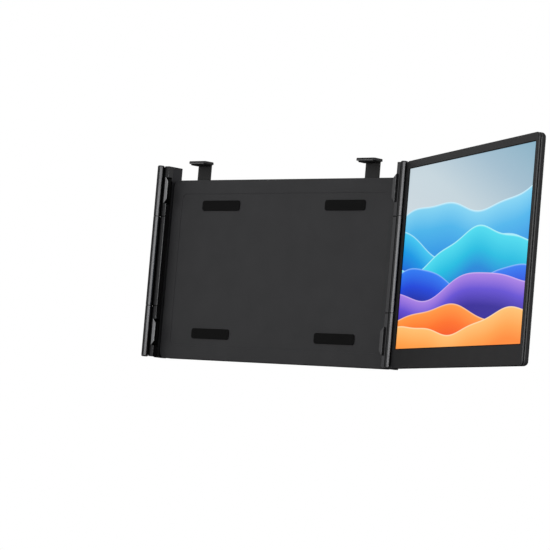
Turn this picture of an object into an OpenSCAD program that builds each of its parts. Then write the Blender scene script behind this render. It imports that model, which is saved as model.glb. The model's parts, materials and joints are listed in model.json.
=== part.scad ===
// Laptop screen extender: a carrier plate that clasps a laptop lid from both sides and from
// above, and one portable display hinged on its right-hand bar.
// Upright frame in millimetres: +X towards the display, +Y behind the lid, +Z up.
// X = 0 is midway between the two bars, Y = 0 the middle of the carrier, Z = 0 its bottom edge.

/* [Laptop lid] */
// Width of the lid that the side bars close on
lid_w = 352; // [340:1:370]
// Height of the lid's top edge over the carrier's bottom edge
lid_h = 224; // [218:1:232]
// Thickness of the lid
lid_t = 7; // [5:0.5:9]
// Free play between a side wall and the lid's edge
lid_play = 0.5; // [0.3:0.1:1]

/* [Carrier] */
// How far the carrier ends below the lid's top edge
carrier_drop = 16; // [15:0.5:20]
// Thickness of the carrier, both covers together
carrier_t = 12; // [12:0.5:14]
// Wall of the carrier's covers
carrier_wall = 1.6; // [1.4:0.1:2]
// Radius of the carrier's corners
carrier_r = 8; // [6:1:12]
// Depth of the field sunk into the front cover
field_depth = 0.4; // [0.2:0.1:0.6]
// Margin round that sunk field
field_margin = 16; // [14:1:20]
// Depth of the front cover's rim
front_rim = 4; // [3:0.5:4]
// Gap between the carrier and the closed left-hand bar
close_gap = 0.4; // [0.3:0.1:0.8]
// Length of a lid pad
lid_pad_w = 60; // [40:1:80]
// Height of a lid pad
lid_pad_h = 12; // [8:1:16]
// How far the lid pads stand proud
pad_proud = 0.6; // [0.4:0.1:1]
// Distance of the lid pads from the centre line
lid_pad_x = 96; // [80:1:100]

/* [Side bars] */
// How far the bars stand over the display's case
bar_over = 0.6; // [0.4:0.1:1.4]
// Diameter of the barrels
barrel_d = 8; // [7.8:0.1:8.4]
// Distance from the lid's edge out to the barrels' axis
barrel_out = 12; // [11.8:0.1:13]
// Distance from the lid's face forward to the barrels' axis
barrel_fwd = 4.4; // [4:0.1:5]
// Height of each end segment of a bar
end_len = 59.4; // [56:0.2:62]
// Gap between two segments
seam = 0.5; // [0.5:0.1:0.7]
// How far the bands stand forward of the lid's face
band_fwd = 3; // [2.6:0.1:3.2]
// Depth of the bands, front to back
band_depth = 7.6; // [7.4:0.1:8]
// Groove between a barrel and its band
groove_w = 0.6; // [0.5:0.1:0.8]
// How far the bands end below the barrels' caps
band_drop = 0.6; // [0.4:0.1:1]
// Thickness of the neck that joins a barrel to its band
neck_t = 2.4; // [2:0.1:2.6]
// Thickness of the spine walls beside the lid
spine_t = 6; // [5.8:0.1:6.2]
// Height of an end cap's rim
cap_h = 1.6; // [1.2:0.1:2]
// Rounding of an end cap
cap_r = 1; // [0.6:0.1:1.1]
// Distance of a segment's screws from its ends
bar_screw_end = 8; // [6:0.5:9]
// Height of the first middle screw over the lower seam
mid_screw_up = 38; // [37:0.5:39]
// Pitch of the two middle screws
mid_screw_pitch = 18; // [14:1:18]
// Length of a segment's screws
bar_screw_len = 11; // [9:0.5:12]
// Diameter of the hinge pins and of the tie rod
pin_d = 4; // [3.8:0.1:4.2]
// Length of a hinge pin
pin_len = 66; // [60:1:72]

/* [Claws] */
// Height of the middle of a claw from its end of the bar
claw_z = 29; // [26:0.5:30]
// Height of a claw at its root
claw_root_h = 31; // [28:0.5:32]
// Height of a claw at its tip
claw_tip_h = 21; // [18:0.5:24]
// How far a claw reaches over the lid
claw_reach = 2; // [1.8:0.1:4]
// Thickness of a claw
claw_t = 4; // [3.6:0.1:4.2]
// Thickness of a claw's foot
claw_foot_t = 2; // [1.8:0.1:2.2]
// Thickness of a claw's rubber pad
claw_pad_t = 1.4; // [1.2:0.1:1.4]

/* [Side slide] */
// How far the left-hand bar pulls out
slide_travel = 45; // [30:1:46]
// Height of the lower slide arm's middle
arm_low_z = 74; // [72:1:78]
// Gap between the upper arm's stop head and the hooks' rails
arm_hook_gap = 4; // [3:0.5:6]
// Height of a slide arm
arm_h = 22; // [20:1:23]
// Thickness of a slide arm
arm_t = 2.4; // [2:0.1:2.6]
// Length of a slide arm inside the carrier, up to its stop head
arm_len = 106; // [100:1:112]
// Height of the stop head
stop_h = 32; // [30:1:34]
// Length of the stop head
stop_w = 6; // [5:1:8]
// Length of an arm guide
guide_w = 21; // [16:1:22]
// Outer radius of a side spring
spring_r = 3.2; // [2.8:0.1:3.4]
// Radius of the spring wire
wire_r = 0.4; // [0.3:0.05:0.5]
// Length of a side spring
spring_len = 60; // [54:1:62]
// Turns of a side spring
spring_turns = 16; // [12:1:18]

/* [Top hooks] */
// Distance of the hooks from the lid's side edges
hook_in = 46; // [44:1:50]
// Width of a hook's head
hook_w = 28; // [24:1:30]
// Thickness of a hook's head
hook_t = 3; // [2.8:0.1:3.4]
// Thickness of the rubber under a hook's head
hook_pad_t = 1.6; // [1.4:0.1:2]
// How far a hook's head reaches past the lid's face
hook_lip = 4; // [3:0.1:4.4]
// Width of a hook's neck
hook_neck_w = 20; // [18:1:22]
// Thickness of a hook's neck
hook_neck_t = 2; // [1.8:0.1:2]
// Width of the stop at the neck's foot
hook_stop_w = 26; // [25:1:28]
// How far a hook slides up
hook_up = 30; // [20:1:30]
// How far a hook slides down
hook_down = 12; // [8:1:12]
// How far a hook's neck reaches down into the carrier
hook_engage = 38; // [36:0.5:38]

/* [Kickstand] */
// Width of the kickstand
stand_w = 120; // [100:1:140]
// Width of the kickstand's neck between the brackets
stand_neck_w = 80; // [70:1:90]
// Height of the kickstand's hinge
stand_hinge_z = 146; // [140:1:150]
// Height of the kickstand's foot when folded
stand_foot_z = 6; // [5:1:10]
// Thickness of the kickstand
stand_t = 3; // [2.6:0.1:3.2]
// Gap behind the carrier when folded
stand_gap = 0.3; // [0.3:0.1:0.5]
// Radius of the kickstand's knuckle
knuckle_r = 2.6; // [2.5:0.1:2.8]
// Radius of the kickstand's pin
stand_pin_r = 1.5; // [1.3:0.1:1.6]
// Width of a kickstand bracket
bracket_w = 10; // [8:1:12]
// Half the height of a bracket's base
bracket_base = 5; // [4:0.5:7]
// Thickness of a bracket's base
bracket_base_t = 1.4; // [1:0.1:2]
// Radius of the finger scoop
scoop_r = 12; // [10:0.5:14]
// Height of the rubber foot
foot_h = 4; // [3:0.5:5]

/* [Display] */
// Width of the display's picture
picture_w = 344.2; // [342:0.1:345]
// Height of the display's picture
picture_h = 193.6; // [192:0.1:194]
// Bezel on the hinge side
bezel_left = 9.3; // [9:0.1:10]
// Bezel on the free side
bezel_right = 5.7; // [5.5:0.1:7]
// Bezel over the picture
bezel_top = 8.8; // [7.5:0.1:10]
// Bezel under the picture
bezel_bottom = 21; // [20:0.1:22]
// Thickness of the display
display_t = 9.2; // [9:0.1:9.6]
// Distance from the hinge axis out to the display's edge
display_off = 4.6; // [4.5:0.1:5]
// Distance of the display's face behind the hinge axis
display_back = 1.5; // [1.5:0.1:2]
// Radius of the display's corners
display_r = 5; // [4:0.5:6]
// Rounding of the back cover's edge
back_r = 4.5; // [4.3:0.1:4.8]
// Width of the case's solid rim round its inside
case_rim = 3; // [2.8:0.1:3.2]
// Depth of the front bezel's rim
rim_t = 2; // [1.9:0.1:2.1]
// Width of the groove round the display's side
side_groove = 1.1; // [0.9:0.1:1.2]
// Depth of the groove round the display's side
groove_in = 0.6; // [0.4:0.1:0.7]
// Thickness of the bezel's face
face_t = 0.9; // [0.8:0.1:1]
// Wall of the back cover
cover_wall = 1.4; // [1.2:0.1:1.4]
// Height of the back cover's lower screws
cover_screw_z = 8; // [7.5:0.5:9]
// Distance of the lower screws from the case's ends
low_screw_in = 24; // [16:1:30]
// Distance of the upper screws below the case's top edge
high_screw_down = 19; // [16:1:24]
// Distance of the upper screws from the case's ends
high_screw_in = 54; // [50:1:60]
// How far the hinge leaf reaches into the case
leaf_reach = 34; // [32:1:36]
// Distance of the leaf's screws from the hinge axis
leaf_screw_x = 26; // [24:0.5:28]
// Distance of the leaf's outer screws from its ends
leaf_screw_end = 8; // [6:0.5:9]
// Distance of the leaf's inner screws from its ends
leaf_screw_mid = 30; // [26:1:34]
// Length of a torque clip
clip_len = 18; // [16:0.5:19]
// How far the display is swung towards the user from flat
open_angle = 29; // [15:1:45]

/* [Display electronics] */
// Distance of the electronics housing from the display's hinge edge
hump_x = 60; // [50:1:66]
// Distance of the electronics housing from the display's free edge
hump_margin = 24.2; // [19.2:0.2:29.2]
// Height of the electronics housing's lower edge
hump_z = 16; // [14:1:18]
// Height of the electronics housing
hump_h = 100; // [98:1:104]
// How far the electronics housing stands out behind
hump_t = 5; // [5:0.1:5.6]
// Thickness of the driver board
board_t = 1.2; // [1:0.1:1.6]
// Width of the driver board
board_w = 102; // [96:1:104]
// Height of the driver board
board_h = 84; // [82:1:86]
// Distance of the flat cable from the board's edge
flex_in = 20; // [16:1:24]
// Width of the flat cable
flex_w = 26; // [20:1:30]
// How far the flat cable runs up the board
flex_up = 14; // [10:1:16]
// Width of a speaker
speaker_w = 36; // [30:1:40]
// Height of a speaker
speaker_h = 16; // [12:1:18]
// Thickness of a speaker
speaker_t = 4.4; // [4:0.1:4.6]
// Height of the first socket's middle over the housing's edge
socket_z = 14; // [13:1:16]
// Pitch of the sockets
socket_pitch = 16; // [15:1:17]
// Height of the first button's middle over the housing's edge
button_z = 64; // [62:1:66]
// Pitch of the buttons
button_pitch = 11; // [10.5:0.5:12]
// Length of a button
button_w = 8; // [6:0.5:8]
// Thickness of a button
button_t = 2.4; // [2:0.1:2.6]
// How far a button stands out
button_out = 0.9; // [0.8:0.1:1.2]
// Travel of a button
button_travel = 0.4; // [0.3:0.1:0.5]

/* [Fits] */
// Radial clearance of a turning or screwed fit
fit = 0.03; // [0.02:0.01:0.05]
// Clearance of a sliding fit
slide_fit = 0.15; // [0.1:0.05:0.2]
// Radius of a small screw's shank
screw_r = 1; // [0.9:0.05:1.1]
// Radius of a small screw's head
head_r = 1.9; // [1.8:0.1:2]
// Height of a small screw's head
head_t = 1.2; // [1:0.1:1.3]

/* [Hidden] */
$fn = 48;

// Colours
black_plastic = [0.13, 0.13, 0.135];
grey_metal = [0.2, 0.2, 0.21];
soft_rubber = [0.07, 0.07, 0.075];
bright_steel = [0.66, 0.67, 0.69];

// Heights of the display's case, the bars and the carrier
display_h = bezel_bottom + picture_h + bezel_top;
bar_h = display_h + bar_over;
carrier_h = lid_h - carrier_drop;

// Planes of the clasped lid, the carrier and the bars
lid_edge = lid_w / 2;
wall_x = lid_edge + lid_play;
face_y = carrier_t / 2;
lid_back_y = -face_y - pad_proud;
lid_face_y = lid_back_y - lid_t;
axis_x = lid_edge + barrel_out;
axis_y = lid_face_y - barrel_fwd;
barrel_r = barrel_d / 2;
pin_r = pin_d / 2;
band_y = lid_face_y - band_fwd;
spine_y = band_y + band_depth;
band_x = axis_x - barrel_r - groove_w;
spine_x = wall_x + spine_t;
inside_y = face_y - carrier_wall;
split_y = -face_y + front_rim;
eps = 0.01;

// Segments of a bar
mid_low = end_len + seam;
mid_high = bar_h - end_len - seam;
bar_screw_z = [
  bar_screw_end, end_len - bar_screw_end,
  mid_low + mid_screw_up, mid_low + mid_screw_up + mid_screw_pitch,
  bar_h - end_len + bar_screw_end, bar_h - bar_screw_end
];
bar_screw_x = wall_x + 3.8;
bar_screw_head_y = -2;

// Slide arms, their guides and springs
hook_foot_z = carrier_h - hook_engage;
arm_high_z = hook_foot_z - hook_down - stop_h / 2 - arm_hook_gap;
arm_z = [arm_low_z, arm_high_z];
arm_in_x = -wall_x + arm_len;
guide_in_x = arm_in_x - slide_travel;
pocket_depth = 5;
arm_screw_z = 5;
spring_x = arm_in_x + stop_w + 0.3;
post_x = spring_x + spring_len + 0.3;
plug_len = 6;
plug_r = spring_r - 2 * wire_r - 0.1;

// Carrier screws stand in bosses; the flange screws also pass through the right spine's flange
boss_r = 3.2;
flange_in = 26;
flange_t = 3;
flange_low = 20;
flange_high = carrier_h - 18;
edge_z = 11;
screw_places = [
  [-wall_x + 13, edge_z], [0, edge_z], [wall_x - 13, edge_z],
  [-wall_x + 13, carrier_h - edge_z], [0, carrier_h - edge_z], [wall_x - 13, carrier_h - edge_z],
  [-100, 106], [118, 106]
];
flange_places = [[wall_x - 14, 62], [wall_x - 14, 148]];

// Claws sit in pockets of the end segments
claw_low_z = claw_z;
claw_high_z = bar_h - claw_z;
claw_front_y = lid_face_y - claw_pad_t - claw_t;
claw_tip_x = lid_edge - claw_reach;
claw_foot_y = band_y + 6.2;
claw_screw_y = band_y + 3.4;
claw_screw_z = 8;

// Hooks
hook_x = lid_edge - hook_in;
hook_y = -inside_y + slide_fit;
hook_head_z = lid_h + hook_pad_t + 0.1;
hook_front_y = lid_face_y - hook_lip;
hook_back_y = hook_y + hook_neck_t;
rail_w = 1.8;
rail_x = hook_stop_w / 2 + slide_fit;

// Kickstand
stand_y = face_y + stand_gap;
stand_axis_y = stand_y + knuckle_r;
stand_shoulder_z = stand_hinge_z - bracket_base - 3;
bracket_x = stand_neck_w / 2 + 0.3;
stand_r = 6;
foot_in = scoop_r + 2;
foot_out = stand_w / 2 - stand_r - 2;
ear_r = stand_axis_y - face_y;

// Display planes, in the display's own frame: X from the hinge axis, Y to the back, Z up
display_w = bezel_left + picture_w + bezel_right;
high_cover_screw_z = display_h - high_screw_down;
front_y = display_back;
rim_y = front_y + rim_t;
cover_y = rim_y + side_groove;
back_y = front_y + display_t;
back_inside_y = back_y - cover_wall;
back_edge_r = min(back_r, display_r - 0.2);
picture_x = display_off + bezel_left;
panel_border = 2;
panel_y = front_y + face_t + 0.05;
panel_t = 1.2;
guide_y = panel_y + panel_t + 0.1;
guide_t = 1.6;
tray_y = guide_y + guide_t + 0.1;
tray_t = 0.6;
tray_back_y = tray_y + tray_t;
hump_w = display_w - hump_x - hump_margin;
hump_in_x = display_off + hump_x;
hump_out_x = hump_in_x + hump_w;
hump_y = back_y + hump_t;
hump_inside_y = hump_y - cover_wall;
board_x = hump_out_x - cover_wall - 6.5 - board_w;
board_z = hump_z + 7;
board_y = back_inside_y - 0.3;
board_back_y = board_y + board_t;
board_out_x = board_x + board_w;
socket_y = board_back_y + 1.65;
button_y = back_y + (hump_t - cover_wall) / 2;
button_in_x = hump_out_x - cover_wall - 2.6;
leaf_low = mid_low + 2;
leaf_high = mid_high - 2;
leaf_y = tray_back_y + 0.15;
leaf_back_y = back_inside_y - 0.1;
clip_r = pin_r + 0.95;

// ---------- shared shapes ----------

// Rectangle with round corners, lower left corner at the origin
module rounded_rect(w, h, r) {
  translate([r, 0]) square([w - 2 * r, h]);
  translate([0, r]) square([w, h - 2 * r]);
  for (x = [r, w - r], y = [r, h - r]) translate([x, y]) circle(r);
}

// Upright plate from y0 to y1 with round corners in the XZ plane
module upright_plate(x, z, w, h, r, y0, y1) {
  translate([x, y1, z]) rotate([90, 0, 0]) linear_extrude(y1 - y0) rounded_rect(w, h, r);
}

// Cylinder along +Y
module rod_y(x, z, r, y0, y1) {
  translate([x, y1, z]) rotate([90, 0, 0]) cylinder(r = r, h = y1 - y0);
}

// Cylinder along +X
module rod_x(y, z, r, x0, x1) {
  translate([x0, y, z]) rotate([0, 90, 0]) cylinder(r = r, h = x1 - x0);
}

// Block between two opposite corners
module block(low, high) {
  translate(low) cube(high - low);
}

// Screw along Y: a shank from y_tip to y_head and a head behind it, with a cross slot
module screw_y(x, z, y_tip, y_head, r = screw_r, hr = head_r, ht = head_t) {
  difference() {
    union() {
      rod_y(x, z, r, y_tip, y_head + eps);
      rod_y(x, z, hr, y_head, y_head + ht);
    }
    for (turn = [0, 90])
      translate([x, y_head + ht, z]) rotate([0, turn, 0]) cube([1.3 * hr, ht, 0.4], center = true);
  }
}

// Puts what is drawn in the display's frame onto the hinge axis, at the display's open angle
module on_display() {
  translate([axis_x, axis_y, 0]) rotate([0, 0, -open_angle]) children();
}

// Draws a right-hand piece on the left
module on_left() {
  mirror([1, 0, 0]) children();
}

// ---------- carrier ----------

// Outline of the carrier between two depths; the left edge stays clear of the closed bar
module carrier_outline(y0, y1, inset = 0) {
  left = -wall_x + close_gap + inset;
  upright_plate(left, inset, wall_x - inset - left, carrier_h - 2 * inset,
    carrier_r - inset, y0, y1);
}

module carrier_openings() {
  // slots for the slide arms
  for (z = arm_z)
    block([-wall_x - 1, -arm_t / 2 - slide_fit, z - arm_h / 2 - slide_fit],
      [-wall_x + 2 * carrier_wall, arm_t / 2 + slide_fit, z + arm_h / 2 + slide_fit]);
  // slot for the right spine's flange
  block([wall_x - 2 * carrier_wall, -flange_t / 2 - fit, flange_low - slide_fit],
    [wall_x + 1, flange_t / 2 + fit, flange_high + slide_fit]);
  // slots for the hooks' necks
  for (x = [-hook_x, hook_x])
    block([x - hook_neck_w / 2 - slide_fit, hook_y - slide_fit, carrier_h - 2 * carrier_wall],
      [x + hook_neck_w / 2 + slide_fit, hook_back_y + slide_fit, carrier_h + 1]);
}

module carrier_front_cover() {
  color(black_plastic) difference() {
    union() {
      difference() {
        carrier_outline(-face_y, split_y);
        carrier_outline(-inside_y, split_y + 1, carrier_wall);
      }
      for (p = screw_places) rod_y(p.x, p.y, boss_r, -inside_y - eps, split_y);
      for (p = flange_places) rod_y(p.x, p.y, boss_r, -inside_y - eps, -flange_t / 2);
      // rails that guide the hooks' stops
      for (x = [-hook_x, hook_x], s = [-1, 1])
        block([x + s * rail_x - (s < 0 ? rail_w : 0), -inside_y - eps, hook_foot_z - hook_down - 1],
          [x + s * rail_x + (s > 0 ? rail_w : 0), hook_back_y + slide_fit, carrier_h - 3]);
    }
    for (p = concat(screw_places, flange_places)) rod_y(p.x, p.y, screw_r + fit, -inside_y, 1);
    upright_plate(-wall_x + field_margin, field_margin, 2 * (wall_x - field_margin),
      carrier_h - 2 * field_margin, carrier_r, -face_y - 1, -face_y + field_depth);
    for (x = [-lid_pad_x, lid_pad_x], z = lid_pad_places())
      upright_plate(x - lid_pad_w / 2, z, lid_pad_w, lid_pad_h, 3, -face_y - 1,
        -face_y + pad_seat);
    carrier_openings();
  }
}

pad_seat = 0.9;
function lid_pad_places() = [field_margin + 8, carrier_h - field_margin - 8 - lid_pad_h];

module lid_pads() {
  color(soft_rubber)
    for (x = [-lid_pad_x, lid_pad_x], z = lid_pad_places())
      upright_plate(x - lid_pad_w / 2 + 0.1, z + 0.1, lid_pad_w - 0.2, lid_pad_h - 0.2, 2.9,
        -face_y - pad_proud, -face_y + pad_seat);
}

module carrier_back_cover() {
  color(black_plastic) difference() {
    union() {
      difference() {
        carrier_outline(split_y, face_y);
        carrier_outline(split_y - 1, inside_y, carrier_wall);
      }
      for (p = screw_places) rod_y(p.x, p.y, boss_r, split_y, inside_y + eps);
      for (p = flange_places) rod_y(p.x, p.y, boss_r, flange_t / 2, inside_y + eps);
    }
    for (p = concat(screw_places, flange_places)) {
      rod_y(p.x, p.y, screw_r + fit, split_y - 1, face_y);
      rod_y(p.x, p.y, head_r + 0.2, face_y - head_t - 0.1, face_y + 1);
    }
    for (x = bracket_screw_x()) rod_y(x, stand_hinge_z, screw_r + fit, inside_y - 1, face_y + 1);
    carrier_openings();
  }
}

module carrier_screws() {
  color(bright_steel)
    for (p = concat(screw_places, flange_places))
      screw_y(p.x, p.y, -inside_y + 0.8, face_y - head_t - 0.1);
}

// Nylon blocks that the slide arms run in, two to an arm
module arm_guides() {
  half = arm_h / 2 + 3.5;
  color([0.8, 0.8, 0.76])
    for (z = arm_z, x = [-wall_x + close_gap + carrier_wall + 0.05, guide_in_x - guide_w])
      difference() {
        block([x, -inside_y + 2.4, z - half], [x + guide_w, inside_y - 0.02, z + half]);
        block([x - 1, -arm_t / 2 - slide_fit, z - arm_h / 2 - slide_fit],
          [x + guide_w + 1, arm_t / 2 + slide_fit, z + arm_h / 2 + slide_fit]);
      }
}

// Fixed plugs that hold the inner ends of the side springs
module spring_posts() {
  color(black_plastic)
    for (z = arm_z) {
      block([post_x, -3.2, z - 5], [post_x + 6, inside_y - 0.02, z + 5]);
      rod_x(0, z, plug_r, post_x - plug_len, post_x + eps);
    }
}

// Open helix along +X: rings of a five-sided wire, each in the plane of the coil's radius
wire_sides = 5;
turn_steps = 10;
function helix_ring(i, pitch, r) =
  let (a = 360 * i / turn_steps, x = wire_r + i * pitch / turn_steps)
  [for (k = [0:wire_sides - 1])
    let (b = 360 * k / wire_sides, d = r + wire_r * cos(b))
    [x + wire_r * sin(b), d * cos(a), d * sin(a)]];

module helix_spring(len, turns, r) {
  steps = turns * turn_steps;
  pitch = (len - 2 * wire_r) / turns;
  points = [for (i = [0:steps]) each helix_ring(i, pitch, r)];
  sides = [for (i = [0:steps - 1], k = [0:wire_sides - 1])
    let (n = (k + 1) % wire_sides, a = i * wire_sides, b = a + wire_sides)
    each [[a + k, b + k, b + n], [a + k, b + n, a + n]]];
  last = steps * wire_sides;
  ends = [[for (k = [0:wire_sides - 1]) k], [for (k = [wire_sides - 1:-1:0]) last + k]];
  polyhedron(points, concat(sides, ends), convexity = 10);
}

module side_springs() {
  color(bright_steel)
    for (z = arm_z)
      translate([spring_x, 0, z]) helix_spring(spring_len, spring_turns, spring_r - wire_r);
}

// Plates that keep the hooks' necks against the front cover
module hook_retainers() {
  color(bright_steel)
    for (x = [-hook_x, hook_x])
      upright_plate(x - rail_x - rail_w, hook_foot_z - hook_down, 2 * (rail_x + rail_w),
        carrier_h - 4 - hook_foot_z + hook_down, 1.5,
        hook_back_y + slide_fit, hook_back_y + slide_fit + 0.8);
}

function bracket_screw_x() = [for (s = [-1, 1]) s * (bracket_x + bracket_w / 2)];

module kickstand_brackets() {
  color(black_plastic)
    for (s = [-1, 1]) {
      low = s > 0 ? bracket_x : -bracket_x - bracket_w;
      difference() {
        union() {
          block([low, face_y, stand_hinge_z - bracket_base],
            [low + bracket_w, face_y + bracket_base_t, stand_hinge_z + bracket_base]);
          block([low, face_y, stand_hinge_z - ear_r],
            [low + bracket_w, stand_axis_y, stand_hinge_z + ear_r]);
          rod_x(stand_axis_y, stand_hinge_z, ear_r, low, low + bracket_w);
        }
        rod_x(stand_axis_y, stand_hinge_z, stand_pin_r + fit + 0.02, low - 1, low + bracket_w + 1);
      }
      rod_y(low + bracket_w / 2, stand_hinge_z, screw_r, inside_y, face_y + eps);
    }
}

// ---------- side bars (drawn on the right) ----------

// Cross-section of the band beside the lid
module band_section() {
  translate([wall_x, band_y]) square([band_x - wall_x, band_depth]);
}

// Cross-section of an end segment: barrel, neck and band
module knuckle_section() {
  band_section();
  translate([axis_x, axis_y]) circle(barrel_r);
  translate([band_x - 1, axis_y + 2.6]) square([3.2, neck_t]);
}

// Pocket for a claw's foot and the holes for its screws
module claw_pocket(z) {
  block([wall_x - 1, band_y - 1, z - claw_root_h / 2 - 0.1],
    [wall_x + claw_foot_t + 0.05, claw_foot_y + 0.1, z + claw_root_h / 2 + 0.1]);
  for (s = [-1, 1]) {
    rod_x(claw_screw_y, z + s * claw_screw_z, screw_r + fit, wall_x, band_x + 1);
    rod_x(claw_screw_y, z + s * claw_screw_z, head_r + 0.1, band_x - head_t, band_x + 1);
  }
}

// Blind holes for the screws that hold a segment on its spine
module bar_screw_holes(low, high) {
  for (z = bar_screw_z)
    if (z > low && z < high)
      rod_y(bar_screw_x, z, screw_r + fit, bar_screw_head_y - bar_screw_len - 0.5, spine_y + 1);
}

// End segment of a bar; at_top tells which end carries the cap
module end_segment(at_top) {
  low = at_top ? bar_h - end_len : 0;
  high = at_top ? bar_h : end_len;
  barrel_low = at_top ? low : cap_h;
  barrel_high = at_top ? high - cap_h : high;
  band_low = at_top ? low : band_drop;
  band_high = at_top ? high - band_drop : high;
  color(black_plastic) difference() {
    union() {
      translate([0, 0, band_low]) linear_extrude(band_high - band_low) band_section();
      translate([0, 0, barrel_low]) linear_extrude(barrel_high - barrel_low) knuckle_section();
    }
    translate([axis_x, axis_y, low - 1]) cylinder(r = pin_r + fit, h = high - low + 2);
    claw_pocket(at_top ? claw_high_z : claw_low_z);
    bar_screw_holes(low, high);
    // the band beside the cap ends below the cap's rim
    translate([0, 0, at_top ? high - band_drop : -1])
      block([wall_x - 1, band_y - 1, 0], [band_x + 0.01, spine_y + 1, band_drop + 1]);
  }
}

module end_cap(at_top) {
  plug = 6;
  translate([axis_x, axis_y, at_top ? bar_h - cap_h : cap_h]) mirror([0, 0, at_top ? 0 : 1])
    color(soft_rubber) rotate_extrude() {
      square([barrel_r, cap_h - cap_r]);
      square([barrel_r - cap_r, cap_h]);
      translate([barrel_r - cap_r, cap_h - cap_r]) intersection() {
        circle(cap_r);
        square(cap_r);
      }
      translate([0, -plug]) square([pin_r, plug + eps]);
    }
}

module right_bar_top() { end_segment(true); }

module right_bar_bottom() { end_segment(false); }

module right_bar_middle() {
  color(black_plastic) difference() {
    translate([0, 0, mid_low]) linear_extrude(mid_high - mid_low) band_section();
    bar_screw_holes(mid_low, mid_high);
  }
}

module right_bar_caps() {
  for (top = [true, false]) end_cap(top);
}

// Screws through a spine into the bands, and their holes
module bar_screws() {
  color(bright_steel)
    for (z = bar_screw_z)
      screw_y(bar_screw_x, z, bar_screw_head_y - bar_screw_len, bar_screw_head_y);
}

// Wall that carries a bar beside the lid
module spine_wall() {
  color(grey_metal) difference() {
    block([wall_x, spine_y, 0], [spine_x, face_y, bar_h - band_drop]);
    for (z = bar_screw_z) {
      rod_y(bar_screw_x, z, screw_r + fit, spine_y - 1, 0);
      rod_y(bar_screw_x, z, head_r + 0.2, bar_screw_head_y, face_y + 1);
    }
    children();
  }
}

module right_bar_screws() { bar_screws(); }

module right_spine() {
  spine_wall();
  color(grey_metal) difference() {
    block([wall_x - flange_in, -flange_t / 2, flange_low], [wall_x + eps, flange_t / 2, flange_high]);
    for (p = flange_places) rod_y(p.x, p.y, screw_r + fit, -flange_t, flange_t);
  }
}

// L-shaped claw: a tapered finger over the lid's face on a foot in the band
module claw(z) {
  reach = wall_x + claw_foot_t - claw_tip_x;
  color(grey_metal) difference() {
    union() {
      block([wall_x, claw_front_y, z - claw_root_h / 2],
        [wall_x + claw_foot_t, claw_foot_y, z + claw_root_h / 2]);
      translate([wall_x + claw_foot_t, claw_front_y + claw_t, z]) rotate([90, 0, 0])
        linear_extrude(claw_t) polygon([
          [0, -claw_root_h / 2], [0, claw_root_h / 2],
          [-reach, claw_tip_h / 2], [-reach, -claw_tip_h / 2]]);
    }
    for (s = [-1, 1])
      rod_x(claw_screw_y, z + s * claw_screw_z, screw_r + fit, wall_x - 1, wall_x + claw_foot_t + 1);
  }
}

module claw_pad(z) {
  span = wall_x - 0.1 - claw_tip_x;
  color(soft_rubber)
    translate([wall_x - 0.1, lid_face_y, z]) rotate([90, 0, 0])
      linear_extrude(claw_pad_t) polygon([
        [0, -claw_tip_h / 2], [0, claw_tip_h / 2],
        [-span, claw_tip_h / 2 - 1], [-span, 1 - claw_tip_h / 2]]);
}

module claw_screws(z) {
  color(bright_steel)
    for (s = [-1, 1], x = [band_x - head_t]) {
      rod_x(claw_screw_y, z + s * claw_screw_z, screw_r, wall_x + 0.2, x + eps);
      rod_x(claw_screw_y, z + s * claw_screw_z, head_r, x, band_x);
    }
}

module right_claws() { for (z = [claw_low_z, claw_high_z]) claw(z); }

module right_claw_pads() { for (z = [claw_low_z, claw_high_z]) claw_pad(z); }

module right_claw_screws() { for (z = [claw_low_z, claw_high_z]) claw_screws(z); }

module hinge_pins() {
  reach_in = pin_len * 0.45;
  color(bright_steel)
    for (z = [mid_low + reach_in - pin_len, mid_high - reach_in])
      translate([axis_x, axis_y, z]) cylinder(r = pin_r, h = pin_len);
}

// ---------- left-hand bar ----------

module left_bar_top() { on_left() end_segment(true); }

module left_bar_bottom() { on_left() end_segment(false); }

module left_bar_middle() {
  color(black_plastic) on_left() difference() {
    translate([0, 0, mid_low]) linear_extrude(mid_high - mid_low) knuckle_section();
    translate([axis_x, axis_y, mid_low - 1]) cylinder(r = pin_r + fit, h = mid_high - mid_low + 2);
    bar_screw_holes(mid_low, mid_high);
  }
}

module left_bar_caps() { on_left() right_bar_caps(); }

module left_tie_rod() {
  end = cap_h + 6.4;
  color(bright_steel)
    translate([-axis_x, axis_y, end]) cylinder(r = pin_r, h = bar_h - 2 * end);
}

module left_spine() {
  on_left() spine_wall() {
    for (z = arm_z) {
      block([wall_x - 1, -arm_t / 2 - 0.05, z - arm_h / 2 - 0.05],
        [wall_x + pocket_depth + 0.05, arm_t / 2 + 0.05, z + arm_h / 2 + 0.05]);
      for (s = [-1, 1]) {
        rod_y(wall_x + pocket_depth / 2, z + s * arm_screw_z, screw_r + fit, -4.5, face_y);
        rod_y(wall_x + pocket_depth / 2, z + s * arm_screw_z, head_r + 0.1,
          face_y - head_t - 0.1, face_y + 1);
      }
    }
  }
}

// Flat arms on the left spine, each with a stop head and a plug for its spring
module slide_arms() {
  color(grey_metal)
    for (z = arm_z) {
      difference() {
        block([-wall_x - pocket_depth, -arm_t / 2, z - arm_h / 2],
          [arm_in_x + eps, arm_t / 2, z + arm_h / 2]);
        for (s = [-1, 1])
          rod_y(-wall_x - pocket_depth / 2, z + s * arm_screw_z, screw_r + fit, -arm_t, arm_t);
      }
      block([arm_in_x, -arm_t / 2, z - stop_h / 2], [arm_in_x + stop_w, arm_t / 2, z + stop_h / 2]);
      rod_x(0, z, plug_r, arm_in_x + stop_w - eps, arm_in_x + stop_w + plug_len);
    }
}

module arm_screws() {
  color(bright_steel)
    for (z = arm_z, s = [-1, 1])
      screw_y(-wall_x - pocket_depth / 2, z + s * arm_screw_z, -4, face_y - head_t - 0.1);
}

module left_bar_screws() { on_left() bar_screws(); }

module left_claws() { on_left() right_claws(); }

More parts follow.
